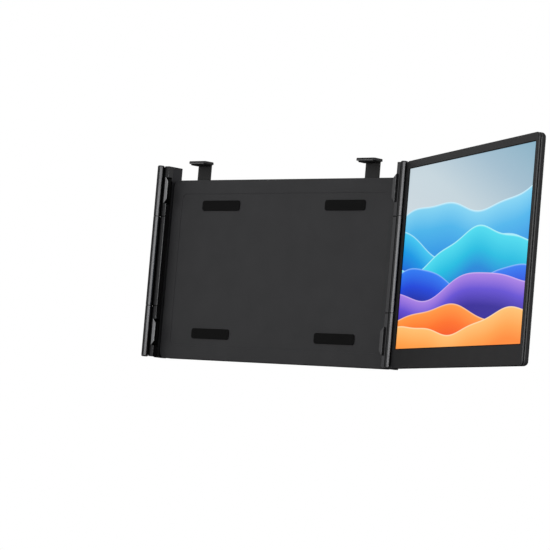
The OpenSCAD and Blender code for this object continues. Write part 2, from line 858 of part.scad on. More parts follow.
module left_claw_pads() { on_left() right_claw_pads(); }

module left_claw_screws() { on_left() right_claw_screws(); }

// ---------- top hooks ----------

// Neck that slides in the carrier under a head that lies over the lid's top edge
module hook(x) {
  color(black_plastic) {
    block([x - hook_neck_w / 2, hook_y, hook_foot_z],
      [x + hook_neck_w / 2, hook_back_y, hook_head_z + eps]);
    block([x - hook_stop_w / 2, hook_y, hook_foot_z], [x + hook_stop_w / 2, hook_back_y, hook_foot_z + 5]);
    translate([x - hook_w / 2, hook_front_y, hook_head_z]) linear_extrude(hook_t)
      rounded_rect(hook_w, hook_back_y - hook_front_y, 3);
  }
}

module hook_pad(x) {
  color(soft_rubber)
    translate([x - hook_w / 2 + 2.5, hook_front_y + 1.2, lid_h + 0.1]) linear_extrude(hook_pad_t)
      rounded_rect(hook_w - 5, hook_y - 0.1 - hook_front_y - 1.2, 2);
}

module left_hook() { hook(-hook_x); }

module left_hook_pad() { hook_pad(-hook_x); }

module right_hook() { hook(hook_x); }

module right_hook_pad() { hook_pad(hook_x); }

// ---------- kickstand ----------

module kickstand_plate() {
  color(black_plastic) difference() {
    union() {
      upright_plate(-stand_w / 2, stand_foot_z + foot_h, stand_w,
        stand_shoulder_z - stand_foot_z - foot_h, stand_r, stand_y, stand_y + stand_t);
      block([-stand_neck_w / 2, stand_y, stand_shoulder_z - 8],
        [stand_neck_w / 2, stand_y + stand_t, stand_hinge_z]);
      rod_x(stand_axis_y, stand_hinge_z, knuckle_r, -stand_neck_w / 2, stand_neck_w / 2);
    }
    rod_x(stand_axis_y, stand_hinge_z, stand_pin_r + fit, -stand_neck_w, stand_neck_w);
    // finger scoop in the lower edge
    rod_y(0, stand_foot_z, scoop_r, stand_y - 1, stand_y + stand_t + 1);
  }
}

module kickstand_pin() {
  half = bracket_x + bracket_w - 0.5;
  color(bright_steel) rod_x(stand_axis_y, stand_hinge_z, stand_pin_r, -half, half);
}

// Rubber foot in two lengths beside the finger scoop
module kickstand_foot() {
  color(soft_rubber)
    for (s = [-1, 1]) {
      low = s > 0 ? foot_in : -foot_out;
      block([low, stand_y, stand_foot_z],
        [low + foot_out - foot_in, stand_y + stand_t, stand_foot_z + foot_h]);
    }
}

// ---------- display (in its own frame) ----------

// Face-down slab whose far face is at y1, with that face's edge rounded
module round_backed_slab(x, z, w, h, r, edge, y0, y1) {
  t = y1 - y0;
  module side(len) {
    translate([edge, 0]) square([len - 2 * edge, t]);
    square([len, t - edge]);
    for (c = [edge, len - edge])
      translate([c, t - edge]) intersection() {
        circle(edge);
        translate([-edge, 0]) square([2 * edge, edge]);
      }
  }
  translate([x, y0, z + h]) rotate([-90, 0, 0]) {
    translate([r, h, 0]) rotate([90, 0, 90]) mirror([1, 0, 0]) linear_extrude(w - 2 * r) side(h);
    translate([0, h - r, 0]) rotate([90, 0, 0]) linear_extrude(h - 2 * r) side(w);
    for (cx = [r, w - r], cy = [r, h - r])
      translate([cx, cy, 0]) rotate_extrude() {
        square([r - edge, t]);
        square([r, t - edge]);
        translate([r - edge, t - edge]) intersection() {
          circle(edge);
          square(edge);
        }
      }
  }
}

module front_bezel() {
  color(black_plastic) on_display() difference() {
    upright_plate(display_off, 0, display_w, display_h, display_r, front_y, rim_y);
    block([picture_x, front_y - 1, bezel_bottom],
      [picture_x + picture_w, rim_y + 1, bezel_bottom + picture_h]);
    block([picture_x - panel_border - 0.2, front_y + face_t, bezel_bottom - panel_border - 0.2],
      [picture_x + picture_w + panel_border + 0.2, rim_y + 1,
       bezel_bottom + picture_h + panel_border + 0.2]);
    for (x = low_cover_screw_x()) rod_y(x, cover_screw_z, screw_r + fit, front_y + 0.8, rim_y + 1);
  }
}

function low_cover_screw_x() =
  [for (f = [low_screw_in, display_w / 2, display_w - low_screw_in]) display_off + f];
function high_cover_screw_x() =
  [for (f = [high_screw_in, display_w / 2, display_w - high_screw_in]) display_off + f];

module lcd_panel() {
  color([0.3, 0.5, 0.75]) on_display()
    block([picture_x - panel_border, panel_y, bezel_bottom - panel_border],
      [picture_x + picture_w + panel_border, panel_y + panel_t,
       bezel_bottom + picture_h + panel_border]);
}

module light_guide() {
  color([0.9, 0.92, 0.94]) on_display()
    block([picture_x - 0.4, guide_y, bezel_bottom - 0.4],
      [picture_x + picture_w + 0.4, guide_y + guide_t, bezel_bottom + picture_h + 0.4]);
}

module led_strip() {
  color([0.95, 0.93, 0.7]) on_display()
    block([picture_x + 2, guide_y, bezel_bottom - 2.6],
      [picture_x + picture_w - 2, guide_y + guide_t, bezel_bottom - 0.5]);
}

// Steel tray behind the backlight, with a folded lower lip and three threaded standoffs
module panel_tray() {
  color(bright_steel) on_display() difference() {
    union() {
      block([picture_x - panel_border, tray_y, bezel_bottom - 4],
        [picture_x + picture_w + panel_border, tray_back_y, bezel_bottom + picture_h + panel_border]);
      block([picture_x - panel_border, guide_y, bezel_bottom - 4],
        [picture_x + picture_w + panel_border, tray_back_y, bezel_bottom - 3.2]);
      for (x = high_cover_screw_x())
        rod_y(x, high_cover_screw_z, 2.4, tray_y, back_inside_y - 0.05);
    }
    for (x = high_cover_screw_x())
      rod_y(x, high_cover_screw_z, 0.8 + fit, tray_y + 0.3, back_y);
  }
}

// Flat cable from the panel's lower edge up to the driver board
module panel_flex() {
  x = board_x + flex_in;
  top = board_z + flex_up;
  color([0.75, 0.45, 0.15]) on_display() {
    block([x, tray_back_y + 0.1, bezel_bottom - 3], [x + flex_w, tray_back_y + 0.3, top]);
    block([x, tray_back_y + 0.1, top - 0.2], [x + flex_w, board_y - 0.02, top]);
  }
}

function board_screw_places() =
  [for (x = [board_x + 4, board_x + board_w - 16], z = [board_z + 4, board_z + board_h - 4]) [x, z]];

module driver_board() {
  color([0.05, 0.3, 0.14]) on_display() difference() {
    block([board_x, board_y, board_z], [board_out_x, board_back_y, board_z + board_h]);
    for (p = board_screw_places()) rod_y(p.x, p.y, screw_r + fit, board_y - 1, board_back_y + 1);
  }
}

// Packages on the board: position along X and Z, size along X and Z, height
chip_list = [
  [10, 12, 18, 18, 1.4], [38, 40, 14, 14, 1.2], [12, 50, 12, 10, 1.6], [60, 52, 9, 9, 2.2],
  [60, 66, 9, 9, 2.2], [36, 62, 10, 6, 1], [62, 12, 12, 12, 1.3], [44, 20, 8, 12, 1]
];

module board_chips() {
  color([0.09, 0.09, 0.1]) on_display()
    for (c = chip_list)
      block([board_x + c[0], board_back_y, board_z + c[1]],
        [board_x + c[0] + c[2], board_back_y + c[4], board_z + c[1] + c[3]]);
}

module board_screws() {
  color(bright_steel) on_display()
    for (p = board_screw_places())
      mirror([0, 1, 0]) screw_y(p.x, p.y, -hump_inside_y + 0.4, -board_y, ht = 0.8);
}

function button_places() = [for (i = [0:2]) hump_z + button_z + i * button_pitch];
function socket_places() = [for (i = [0:2]) hump_z + socket_z + i * socket_pitch];

// Tact switches at the board's edge, one behind each button
module button_switches() {
  color([0.7, 0.7, 0.72]) on_display()
    for (z = button_places()) {
      block([board_out_x - 5, board_back_y, z - 2.6], [board_out_x - 0.4, button_y + 1.3, z + 2.6]);
      rod_x(button_y, z, 0.8, board_out_x - 0.5, switch_tip_x);
    }
}

switch_tip_x = board_out_x + 0.9;

// One button: cap, flange behind the housing's wall and stem to its switch
module button(z) {
  color(grey_metal) on_display() {
    upright_bar(z, button_w - 0.2, button_t - 0.2, button_in_x + 1, hump_out_x + button_out);
    block([button_in_x, button_y - button_t / 2 - 0.3, z - button_w / 2 - 0.6],
      [hump_out_x - cover_wall - button_travel - 0.3, button_y + button_t / 2 + 0.3,
       z + button_w / 2 + 0.6]);
    rod_x(button_y, z, 1, switch_tip_x + button_travel + 0.05, button_in_x + eps);
  }
}

// Bar along X with a stadium section, w along Z and t along Y
module upright_bar(z, w, t, x0, x1) {
  translate([x0, button_y, z]) rotate([90, 0, 90]) linear_extrude(x1 - x0) {
    square([t, w - t], center = true);
    for (s = [-1, 1]) translate([0, s * (w - t) / 2]) circle(t / 2);
  }
}

module power_button() { button(button_places()[2]); }

module plus_button() { button(button_places()[1]); }

module minus_button() { button(button_places()[0]); }

// Metal socket shell along X with a tongue inside
module socket_shell(z, w, t, depth, tongue_t) {
  x1 = hump_out_x - cover_wall + 0.6;
  translate([x1 - depth, socket_y, z]) rotate([90, 0, 90]) {
    linear_extrude(depth) difference() {
      stadium(w, t);
      stadium(w - 0.6, t - 0.6);
    }
    linear_extrude(0.6) stadium(w, t);
    translate([0, 0, 0.5]) linear_extrude(depth - 1.5) square([tongue_t, w - 3], center = true);
  }
}

module stadium(w, t) {
  square([t, w - t], center = true);
  for (s = [-1, 1]) translate([0, s * (w - t) / 2]) circle(t / 2);
}

socket_depth = 7.4;

module usb_c_sockets() {
  color(bright_steel) on_display()
    for (i = [1, 2]) socket_shell(socket_places()[i], 8.94, 3.2, socket_depth, 0.7);
}

module mini_hdmi_socket() {
  color(bright_steel) on_display() socket_shell(socket_places()[0], 11.2, 3.2, socket_depth, 0.9);
}

speaker_z = hump_z + 5;
function speaker_places() = [hump_in_x + 8, board_x - speaker_w - 12];

module speakers() {
  color([0.1, 0.1, 0.11]) on_display()
    for (x = speaker_places())
      upright_plate(x, speaker_z, speaker_w, speaker_h, 3, hump_inside_y - speaker_t, hump_inside_y - 0.02);
}

module display_back_cover() {
  color(black_plastic) on_display() difference() {
    union() {
      round_backed_slab(display_off, 0, display_w, display_h, display_r, back_edge_r,
        cover_y, back_y);
      upright_plate(display_off + groove_in, groove_in, display_w - 2 * groove_in,
        display_h - 2 * groove_in, display_r - groove_in, rim_y, cover_y + eps);
      round_backed_slab(hump_in_x, hump_z, hump_w, hump_h, 6, 2, back_y - 1, hump_y);
    }
    difference() {
      upright_plate(display_off + case_rim, case_rim, display_w - 2 * case_rim,
        display_h - 2 * case_rim, 2, rim_y - 1, back_inside_y);
      for (x = low_cover_screw_x()) rod_y(x, cover_screw_z, 2.6, rim_y - 1, back_inside_y + 1);
    }
    upright_plate(hump_in_x + cover_wall, hump_z + cover_wall, hump_w - 2 * cover_wall,
      hump_h - 2 * cover_wall, 4.6, back_inside_y - 1, hump_inside_y);
    // way in for the hinge leaf
    block([display_off - 1, rim_y - 1, leaf_low - 0.3],
      [display_off + case_rim + 1, back_inside_y, leaf_high + 0.3]);
    for (z = leaf_screw_z) cover_hole(leaf_screw_x, z, leaf_y);
    for (x = low_cover_screw_x()) cover_hole(x, cover_screw_z, rim_y - 1);
    for (x = high_cover_screw_x()) cover_hole(x, high_cover_screw_z, back_inside_y - 1);
    for (z = button_places())
      upright_bar(z, button_w, button_t, hump_out_x - cover_wall - 1, hump_out_x + 1);
    for (i = [0:2])
      translate([hump_out_x - cover_wall - 1, socket_y, socket_places()[i]]) rotate([90, 0, 90])
        linear_extrude(cover_wall + 2) stadium(i == 0 ? 11.5 : 9.3, 3.5);
    for (x = speaker_places(), i = [0:7])
      upright_plate(x + 5 + i * 3.6, speaker_z + 2, 1.2, speaker_h - 4, 0.59,
        hump_inside_y - 1, hump_y + 1);
  }
  color(black_plastic) on_display()
    for (p = board_screw_places())
      difference() {
        rod_y(p.x, p.y, 2.6, board_back_y, hump_inside_y + eps);
        rod_y(p.x, p.y, screw_r + fit, board_back_y - 1, hump_inside_y - 0.2);
      }
}

// Through hole and head seat for a screw put in from behind
module cover_hole(x, z, y0) {
  rod_y(x, z, screw_r + fit, y0, back_y + 1);
  rod_y(x, z, head_r + 0.2, back_y - head_t + 0.4, back_y + 1);
}

module back_cover_screws() {
  color(bright_steel) on_display() {
    for (x = low_cover_screw_x())
      screw_y(x, cover_screw_z, front_y + 1, back_y - head_t + 0.4, ht = head_t - 0.6);
    for (x = high_cover_screw_x())
      screw_y(x, high_cover_screw_z, tray_back_y, back_y - head_t + 0.4, r = 0.8,
        ht = head_t - 0.6);
  }
}

leaf_screw_z = [
  leaf_low + leaf_screw_end, leaf_low + leaf_screw_mid,
  leaf_high - leaf_screw_mid, leaf_high - leaf_screw_end
];

// Middle barrel and the flat leaf that runs into the display behind its tray
module hinge_leaf() {
  color(grey_metal) on_display() difference() {
    union() {
      translate([0, 0, mid_low]) cylinder(r = barrel_r, h = mid_high - mid_low);
      translate([0, 0, leaf_low]) linear_extrude(leaf_high - leaf_low) polygon([
        [0.3, barrel_r - 0.1], [barrel_r * 0.7, leaf_y], [7, leaf_back_y],
        [leaf_reach, leaf_back_y], [leaf_reach, leaf_y], [11.3, leaf_y],
        [9.5, rim_y + 0.2], [display_off - 0.3, rim_y + 0.2], [barrel_r * 0.8, barrel_r * 0.5]]);
    }
    translate([0, 0, mid_low - 1]) cylinder(r = pin_r + 0.05, h = mid_high - mid_low + 2);
    for (z = [mid_low - 1, mid_high - clip_len - 0.5])
      translate([0, 0, z]) cylinder(r = clip_r + fit, h = clip_len + 1.5);
    for (z = leaf_screw_z) rod_y(leaf_screw_x, z, screw_r + fit, leaf_y - 1, leaf_back_y + 1);
  }
}

module leaf_screws() {
  color(bright_steel) on_display()
    for (z = leaf_screw_z)
      screw_y(leaf_screw_x, z, leaf_y + 0.1, back_y - head_t + 0.4, ht = head_t - 0.6);
}

// Slit steel sleeves that grip the hinge pins and hold the display at any angle
module torque_clips() {
  color(bright_steel) on_display()
    for (z = [mid_low + 0.3, mid_high - clip_len - 0.3])
      translate([0, 0, z]) difference() {
        cylinder(r = clip_r, h = clip_len);
        translate([0, 0, -1]) cylinder(r = pin_r + 0.04, h = clip_len + 2);
        translate([0, -0.4, -1]) cube([clip_r + 1, 0.8, clip_len + 2]);
      }
}

module hinge_washers() {
  t = seam - 0.1;
  color([0.85, 0.85, 0.82]) on_display()
    for (z = [end_len + 0.05, mid_high + 0.05])
      translate([0, 0, z]) difference() {
        cylinder(r = barrel_r - 0.6, h = t);
        translate([0, 0, -1]) cylinder(r = pin_r + 0.06, h = t + 2);
      }
}

carrier_front_cover();
carrier_back_cover();
carrier_screws();
lid_pads();
arm_guides();
spring_posts();
side_springs();
hook_retainers();
kickstand_brackets();
right_spine();
right_bar_top();
right_bar_middle();
right_bar_bottom();
right_bar_caps();
right_bar_screws();
right_claws();
right_claw_pads();
right_claw_screws();
hinge_pins();
left_bar_top();
left_bar_middle();
left_bar_bottom();
left_bar_caps();
left_tie_rod();
left_spine();
slide_arms();
arm_screws();
left_bar_screws();
left_claws();
left_claw_pads();
left_claw_screws();
left_hook();
left_hook_pad();
right_hook();
right_hook_pad();
kickstand_plate();
kickstand_pin();
kickstand_foot();
front_bezel();
lcd_panel();
light_guide();
led_strip();
panel_tray();
panel_flex();
driver_board();
board_chips();
board_screws();
button_switches();
usb_c_sockets();
mini_hdmi_socket();
speakers();
display_back_cover();
back_cover_screws();
hinge_leaf();
leaf_screws();
torque_clips();
hinge_washers();
power_button();
plus_button();
minus_button();
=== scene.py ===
"""Looks of a laptop screen extender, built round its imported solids."""

import json
import math

import bmesh
import bpy
from mathutils import Euler, Matrix, Vector

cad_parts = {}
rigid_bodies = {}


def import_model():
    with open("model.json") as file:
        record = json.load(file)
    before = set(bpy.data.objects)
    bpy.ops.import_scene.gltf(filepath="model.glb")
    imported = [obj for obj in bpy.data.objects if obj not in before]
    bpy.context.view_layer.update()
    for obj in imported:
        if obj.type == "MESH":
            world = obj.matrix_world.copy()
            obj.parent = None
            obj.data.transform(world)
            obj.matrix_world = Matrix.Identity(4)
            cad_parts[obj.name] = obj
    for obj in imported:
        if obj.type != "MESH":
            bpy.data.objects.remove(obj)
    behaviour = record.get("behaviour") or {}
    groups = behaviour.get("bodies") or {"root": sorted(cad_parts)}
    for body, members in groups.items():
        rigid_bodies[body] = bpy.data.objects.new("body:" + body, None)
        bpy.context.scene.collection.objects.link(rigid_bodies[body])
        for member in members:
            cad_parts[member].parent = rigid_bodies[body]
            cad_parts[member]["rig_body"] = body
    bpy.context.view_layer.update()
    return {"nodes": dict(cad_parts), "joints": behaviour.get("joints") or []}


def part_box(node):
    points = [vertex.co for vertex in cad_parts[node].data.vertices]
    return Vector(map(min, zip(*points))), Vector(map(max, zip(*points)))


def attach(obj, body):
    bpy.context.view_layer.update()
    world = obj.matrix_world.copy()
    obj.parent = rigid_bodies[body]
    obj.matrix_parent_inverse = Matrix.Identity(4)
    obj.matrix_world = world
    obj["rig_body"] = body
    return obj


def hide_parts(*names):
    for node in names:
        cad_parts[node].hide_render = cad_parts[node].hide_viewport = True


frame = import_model()
mm = 0.001  # sizes are in millimetres, and times mm they are in Blender's metres


# ---------- Camera ----------
# A long lens, a little below the table's height and well out on the display's side, turned
# slightly about its own line of sight.
view_target = Vector((-6.964, 0, 99.793)) * mm
view_azimuth = math.radians(43.718)
view_elevation = math.radians(-3.943)
view_distance = 3080.35 * mm
view_roll = math.radians(4.89)
lens = 179.05


def towards(azimuth, elevation):
    """Unit vector from the object out into the studio; azimuth 0 is in front, 90 on its right."""
    level = math.cos(elevation)
    return Vector((math.sin(azimuth) * level, -math.cos(azimuth) * level, math.sin(elevation)))


outward = towards(view_azimuth, view_elevation)
bpy.ops.object.camera_add(location=view_target + outward * view_distance)
camera = bpy.context.object
camera.name = "camera"
aim = (-outward).to_track_quat("-Z", "Y")
camera.rotation_euler = (aim @ Euler((0, 0, view_roll)).to_quaternion()).to_euler()
camera.data.lens = lens
camera.data.sensor_width = 36
camera.data.clip_end = 100
bpy.context.scene.camera = camera


# ---------- Studio ----------
# White surroundings, an arc of low gridded strip boxes in front, soft lamps overhead, on the left
# and behind, over a pale tabletop that is see-through from below.
surroundings = 0.45
grid_angle = math.radians(60)
arc_middle, arc_step = 44, 16
white = (1, 1, 1, 1)
top_grey = (0.80, 0.80, 0.80, 1)
top_pale = (0.83, 0.83, 0.83, 1)
tabletop_size = 30
paper_from, paper_to = 0.5, 2.0
bpy.context.scene.view_settings.view_transform = "Standard"

world = bpy.context.scene.world or bpy.data.worlds.new("studio")
bpy.context.scene.world = world
world.use_nodes = True


def add_node(tree, kind, **settings):
    """A shader node with its properties set by name and its sockets by title."""
    made = tree.nodes.new("ShaderNode" + kind)
    for name, value in settings.items():
        if hasattr(made, name):
            setattr(made, name, value)
        else:
            made.inputs[name.replace("_", " ")].default_value = value
    return made


def join(tree, start, end):
    """A link from one node's socket to another's, each given as (node, socket)."""
    tree.links.new(start[0].outputs[start[1]], end[0].inputs[end[1]])


def light_the_world(tree):
    """White where it is seen, mirrored or looked at through glass, and dimmer as a light."""
    tree.nodes.clear()
    path = add_node(tree, "LightPath")
    seen = add_node(tree, "Math", operation="MAXIMUM")
    shown = add_node(tree, "Math", operation="MAXIMUM")
    join(tree, (path, "Is Camera Ray"), (seen, 0))
    join(tree, (path, "Is Glossy Ray"), (seen, 1))
    join(tree, (seen, 0), (shown, 0))
    join(tree, (path, "Is Transmission Ray"), (shown, 1))
    dim = add_node(tree, "Background", Color=white, Strength=surroundings)
    bright = add_node(tree, "Background", Color=white, Strength=1)
    mix = add_node(tree, "MixShader")
    join(tree, (shown, 0), (mix, 0))
    join(tree, (dim, 0), (mix, 1))
    join(tree, (bright, 0), (mix, 2))
    join(tree, (mix, 0), (add_node(tree, "OutputWorld"), "Surface"))


light_the_world(world.node_tree)


def softbox(name, azimuth, elevation, distance, width, height, radiance, spread=math.pi):
    """An area lamp aimed at the object and hidden from the camera; a grid narrows its spread."""
    out = towards(math.radians(azimuth), math.radians(elevation))
    bpy.ops.object.light_add(type="AREA", location=view_target + out * distance)
    lamp = bpy.context.object
    lamp.name = name
    lamp.rotation_euler = (-out).to_track_quat("-Z", "Y").to_euler()
    lamp.data.shape = "RECTANGLE"
    lamp.data.size, lamp.data.size_y = width, height
    lamp.data.spread = spread
    half = spread / 2
    lost_in_grid = half / math.tan(half) if spread < math.pi else 0
    lamp.data.energy = radiance * math.pi * width * height * (1 - lost_in_grid)
    lamp.visible_camera = False


for step in range(-2, 3):
    softbox("front_strip", azimuth=arc_middle + step * arc_step, elevation=4.5, distance=2.2,
            width=0.62, height=0.46, radiance=8.5, spread=grid_angle)
softbox("side_strip", azimuth=91, elevation=4.5, distance=2.2,
        width=0.55, height=0.46, radiance=5.5, spread=grid_angle)
softbox("overhead", azimuth=0, elevation=80, distance=2.4, width=1.6, height=1.6, radiance=2)
softbox("key", azimuth=-35, elevation=50, distance=2.2, width=1.4, height=1.0, radiance=2.4)
softbox("back_fill", azimuth=200, elevation=12, distance=2.4, width=1.8, height=1.0, radiance=5)


def tabletop_finish():
    """Matt off-white on top, white paper far out, and see-through from below."""
    material = bpy.data.materials.new("tabletop")
    material.use_nodes = True
    tree = material.node_tree
    tree.nodes.clear()
    place = add_node(tree, "TexCoord")
    grain = add_node(tree, "TexNoise", Scale=9, Detail=3)
    tone = add_node(tree, "MixRGB", Color1=top_grey, Color2=top_pale)
    top = add_node(tree, "BsdfDiffuse")
    reach = add_node(tree, "VectorMath", operation="LENGTH")
    far = add_node(tree, "MapRange", interpolation_type="SMOOTHSTEP",
                   From_Min=paper_from, From_Max=paper_to)
    path = add_node(tree, "LightPath")
    shown = add_node(tree, "Math", operation="MULTIPLY")
    paper = add_node(tree, "Emission", Color=white, Strength=1)
    faded = add_node(tree, "MixShader")
    side = add_node(tree, "NewGeometry")
    below = add_node(tree, "BsdfTransparent")
    whole = add_node(tree, "MixShader")
    join(tree, (place, "Object"), (grain, "Vector"))
    join(tree, (grain, "Fac"), (tone, "Fac"))
    join(tree, (tone, 0), (top, "Color"))
    join(tree, (place, "Object"), (reach, 0))
    join(tree, (reach, "Value"), (far, "Value"))
    join(tree, (far, 0), (shown, 0))
    join(tree, (path, "Is Camera Ray"), (shown, 1))
    join(tree, (shown, 0), (faded, 0))
    join(tree, (top, 0), (faded, 1))
    join(tree, (paper, 0), (faded, 2))
    join(tree, (side, "Backfacing"), (whole, 0))
    join(tree, (faded, 0), (whole, 1))
    join(tree, (below, 0), (whole, 2))
    join(tree, (whole, 0), (add_node(tree, "OutputMaterial"), "Surface"))
    return material


bpy.ops.mesh.primitive_plane_add(size=tabletop_size, location=(0, 0, 0))
tabletop = bpy.context.object
tabletop.name = "tabletop"
tabletop.data.materials.append(tabletop_finish())


# ---------- Carrier covers ----------
# The plate behind the lid: two thin shells moulded in matt black plastic with a spark-eroded grain,
# screwed together from behind. Their outer edges and the sunk field's edge are eased.
cover_black = (0.019, 0.019, 0.020, 1)
cover_corner = 8
cover_edge = 0.8
cover_joint_edge = 0.25
field_edge = 0.2
merge_reach = 0.0005
same_place = 0.01
outline_reach = 0.3
flat_angle = math.radians(0.5)
sharp_angle = math.radians(30)
smooth_angle = math.radians(35)


def new_finish(name):
    """A new node material, with its node tree and its main shader."""
    material = bpy.data.materials.new(name)
    material.use_nodes = True
    return material, material.node_tree, material.node_tree.nodes["Principled BSDF"]


def noise(tree, scale, detail):
    """A noise pattern that stays put on its piece."""
    place = add_node(tree, "TexCoord")
    pattern = add_node(tree, "TexNoise", Scale=scale, Detail=detail)
    join(tree, (place, "Object"), (pattern, "Vector"))
    return pattern


def mottle(tree, skin, pattern, colour, shades, roughness):
    """Lets a pattern swing the tone between two shades of a colour, and the roughness with it."""
    dark, light = ([c * shade for c in colour[:3]] + [1] for shade in shades)
    tone = add_node(tree, "MixRGB", Color1=dark, Color2=light)
    gloss = add_node(tree, "MapRange", To_Min=roughness[0], To_Max=roughness[1])
    join(tree, (pattern, "Fac"), (tone, "Fac"))
    join(tree, (pattern, "Fac"), (gloss, "Value"))
    join(tree, (tone, 0), (skin, "Base Color"))
    join(tree, (gloss, 0), (skin, "Roughness"))


def emboss(tree, skin, pattern, relief, depth):
    """Raises a pattern's relief, so many millimetres deep."""
    bump = add_node(tree, "Bump", Strength=relief, Distance=depth * mm)
    join(tree, (pattern, "Fac"), (bump, "Height"))
    join(tree, (bump, 0), (skin, "Normal"))


def matt_plastic(name, colour, grain=0.5, relief=0.25, roughness=0.45, specular=0.16):
    """Moulded plastic with a fine even grain and a faint cloudiness in tone and gloss."""
    material, tree, skin = new_finish(name)
    skin.inputs["Specular IOR Level"].default_value = specular
    cloud = noise(tree, scale=35, detail=2)
    pits = noise(tree, scale=1 / (grain * mm), detail=1)
    mottle(tree, skin, cloud, colour, shades=(0.85, 1.2),
           roughness=(roughness - 0.04, roughness + 0.05))
    emboss(tree, skin, pits, relief, depth=0.02)
    return material


def activate(piece):
    """Selects this piece alone and makes it the one that operators act on."""
    bpy.ops.object.select_all(action="DESELECT")
    piece.select_set(True)
    bpy.context.view_layer.objects.active = piece


def merged_copy(node, name):
    """A new piece with a CAD node's shape, its loose triangles merged into whole faces."""
    piece = bpy.data.objects.new(name, frame["nodes"][node].data.copy())
    bpy.context.scene.collection.objects.link(piece)
    piece.data.materials.clear()
    activate(piece)
    bpy.ops.mesh.customdata_custom_splitnormals_clear()
    bpy.ops.object.mode_set(mode="EDIT")
    bpy.ops.mesh.select_all(action="SELECT")
    bpy.ops.mesh.remove_doubles(threshold=merge_reach * mm)
    bpy.ops.mesh.dissolve_limited(angle_limit=flat_angle)
    bpy.ops.object.mode_set(mode="OBJECT")
    return piece


def pick(piece, kind, chosen):
    """In edit mode, selects only the edges or the faces for which chosen() is true."""
    bpy.context.tool_settings.mesh_select_mode = [kind == k for k in ("verts", "edges", "faces")]
    bpy.ops.mesh.select_all(action="DESELECT")
    mesh = bmesh.from_edit_mesh(piece.data)
    for part in getattr(mesh, kind):
        if chosen(part):
            part.select_set(True)
    mesh.select_flush_mode()
    bmesh.update_edit_mesh(piece.data)


def sharp(edge):
    """True for an edge that stands out sharply."""
    return len(edge.link_faces) == 2 and edge.calc_face_angle_signed() > sharp_angle


def both_ends(edge, chosen):
    """True where both ends of an edge, in millimetres, satisfy chosen(point)."""
    return all(chosen(v.co / mm) for v in edge.verts)


def bevel(piece, chosen, width, segments):
    """Rounds those sharp edges for which chosen(edge) is true."""
    activate(piece)
    bpy.ops.object.mode_set(mode="EDIT")
    pick(piece, "edges", lambda edge: sharp(edge) and chosen(edge))
    bpy.ops.mesh.bevel(offset=width * mm, segments=segments, affect="EDGES", clamp_overlap=False)
    bpy.ops.object.mode_set(mode="OBJECT")


def ease(piece, chosen, width, segments=3):
    """Rounds those sharp edges whose two ends both satisfy chosen(point)."""
    bevel(piece, lambda edge: both_ends(edge, chosen), width, segments)


def finish(piece, material):
    """Smooth shading up to an angle, flat faces kept flat beside eased edges, and the finish."""
    activate(piece)
    bpy.ops.object.shade_smooth_by_angle(angle=smooth_angle)
    bpy.ops.object.modifier_add(type="WEIGHTED_NORMAL")
    piece.modifiers[-1].keep_sharp = True
    bpy.ops.object.modifier_apply(modifier=piece.modifiers[-1].name)
    piece.data.materials.append(material)


def put_in_place_of(node, piece):
    """The piece moves with the CAD node's body and is shown instead of it."""
    original = frame["nodes"][node]
    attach(piece, original["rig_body"])
    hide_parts(node)


def box_of(node):
    """The low and the high corner of a CAD node's box, in millimetres."""
    low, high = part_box(node)
    return low / mm, high / mm


def near(a, b, reach=same_place):
    """True where two places along an axis are within reach of each other."""
    return abs(a - b) < reach


def on_outline(low, high, corner):
    """Test for a point on the rounded rectangle between two corners in X and Z."""
    centre, half = (low + high) / 2, (high - low) / 2

    def test(point):
        over_x = max(abs(point.x - centre.x) - half.x + corner, 0)
        over_z = max(abs(point.z - centre.z) - half.z + corner, 0)
        return math.hypot(over_x, over_z) > corner - outline_reach

    return test


case_black = matt_plastic("case_black", cover_black)
cover_low, cover_high = box_of("carrier_back_cover")
joint_y, rear_y = cover_low.y, cover_high.y
front_y = box_of("carrier_front_cover")[0].y
outer = on_outline(cover_low, cover_high, cover_corner)

front_cover = merged_copy("carrier_front_cover", "front_cover")
ease(front_cover, lambda p: near(p.y, front_y) and outer(p), cover_edge)
ease(front_cover, lambda p: near(p.y, front_y) and not outer(p), field_edge, segments=2)
ease(front_cover, lambda p: near(p.y, joint_y) and outer(p), cover_joint_edge, segments=2)
finish(front_cover, case_black)
put_in_place_of("carrier_front_cover", front_cover)

back_cover = merged_copy("carrier_back_cover", "back_cover")
ease(back_cover, lambda p: near(p.y, rear_y) and outer(p), cover_edge)
ease(back_cover, lambda p: near(p.y, joint_y) and outer(p), cover_joint_edge, segments=2)
finish(back_cover, case_black)
put_in_place_of("carrier_back_cover", back_cover)


# ---------- Lid pads ----------
# Four strips of soft black rubber, die-cut with round corners and stuck into recesses of the front
# cover, so that the lid's back rests on them and not on the plastic.
pad_black = (0.003, 0.003, 0.003, 1)
pad_w, pad_h = 59.8, 11.8
pad_radius = 2.9
pad_edge = 0.35
corner_steps = 8
parallel = 0.999


def soft_rubber(name, colour):
    """Matt rubber with a powdery bloom and a fine grain."""
    material, tree, skin = new_finish(name)
    skin.inputs["Specular IOR Level"].default_value = 0.05
    bloom = noise(tree, scale=180, detail=4)
    grain = noise(tree, scale=2600, detail=2)
    mottle(tree, skin, bloom, colour, shades=(0.8, 1.5), roughness=(0.72, 0.9))
    emboss(tree, skin, grain, relief=0.3, depth=0.03)
    return material


def block(name, low, high):
    """A box primitive between two corners in millimetres, in object mode, its place in its mesh."""
    low, high = Vector(low) * mm, Vector(high) * mm
    bpy.ops.object.select_all(action="DESELECT")
    bpy.ops.mesh.primitive_cube_add(size=1, location=(low + high) / 2, scale=high - low)
    piece = bpy.context.object
    piece.name = name
    bpy.ops.object.transform_apply(location=True, rotation=True, scale=True)
    return piece


def along(edge, axis):
    """True for an edge that runs along one axis: 0, 1 or 2."""
    run = edge.verts[1].co - edge.verts[0].co
    return abs(run[axis]) > parallel * run.length


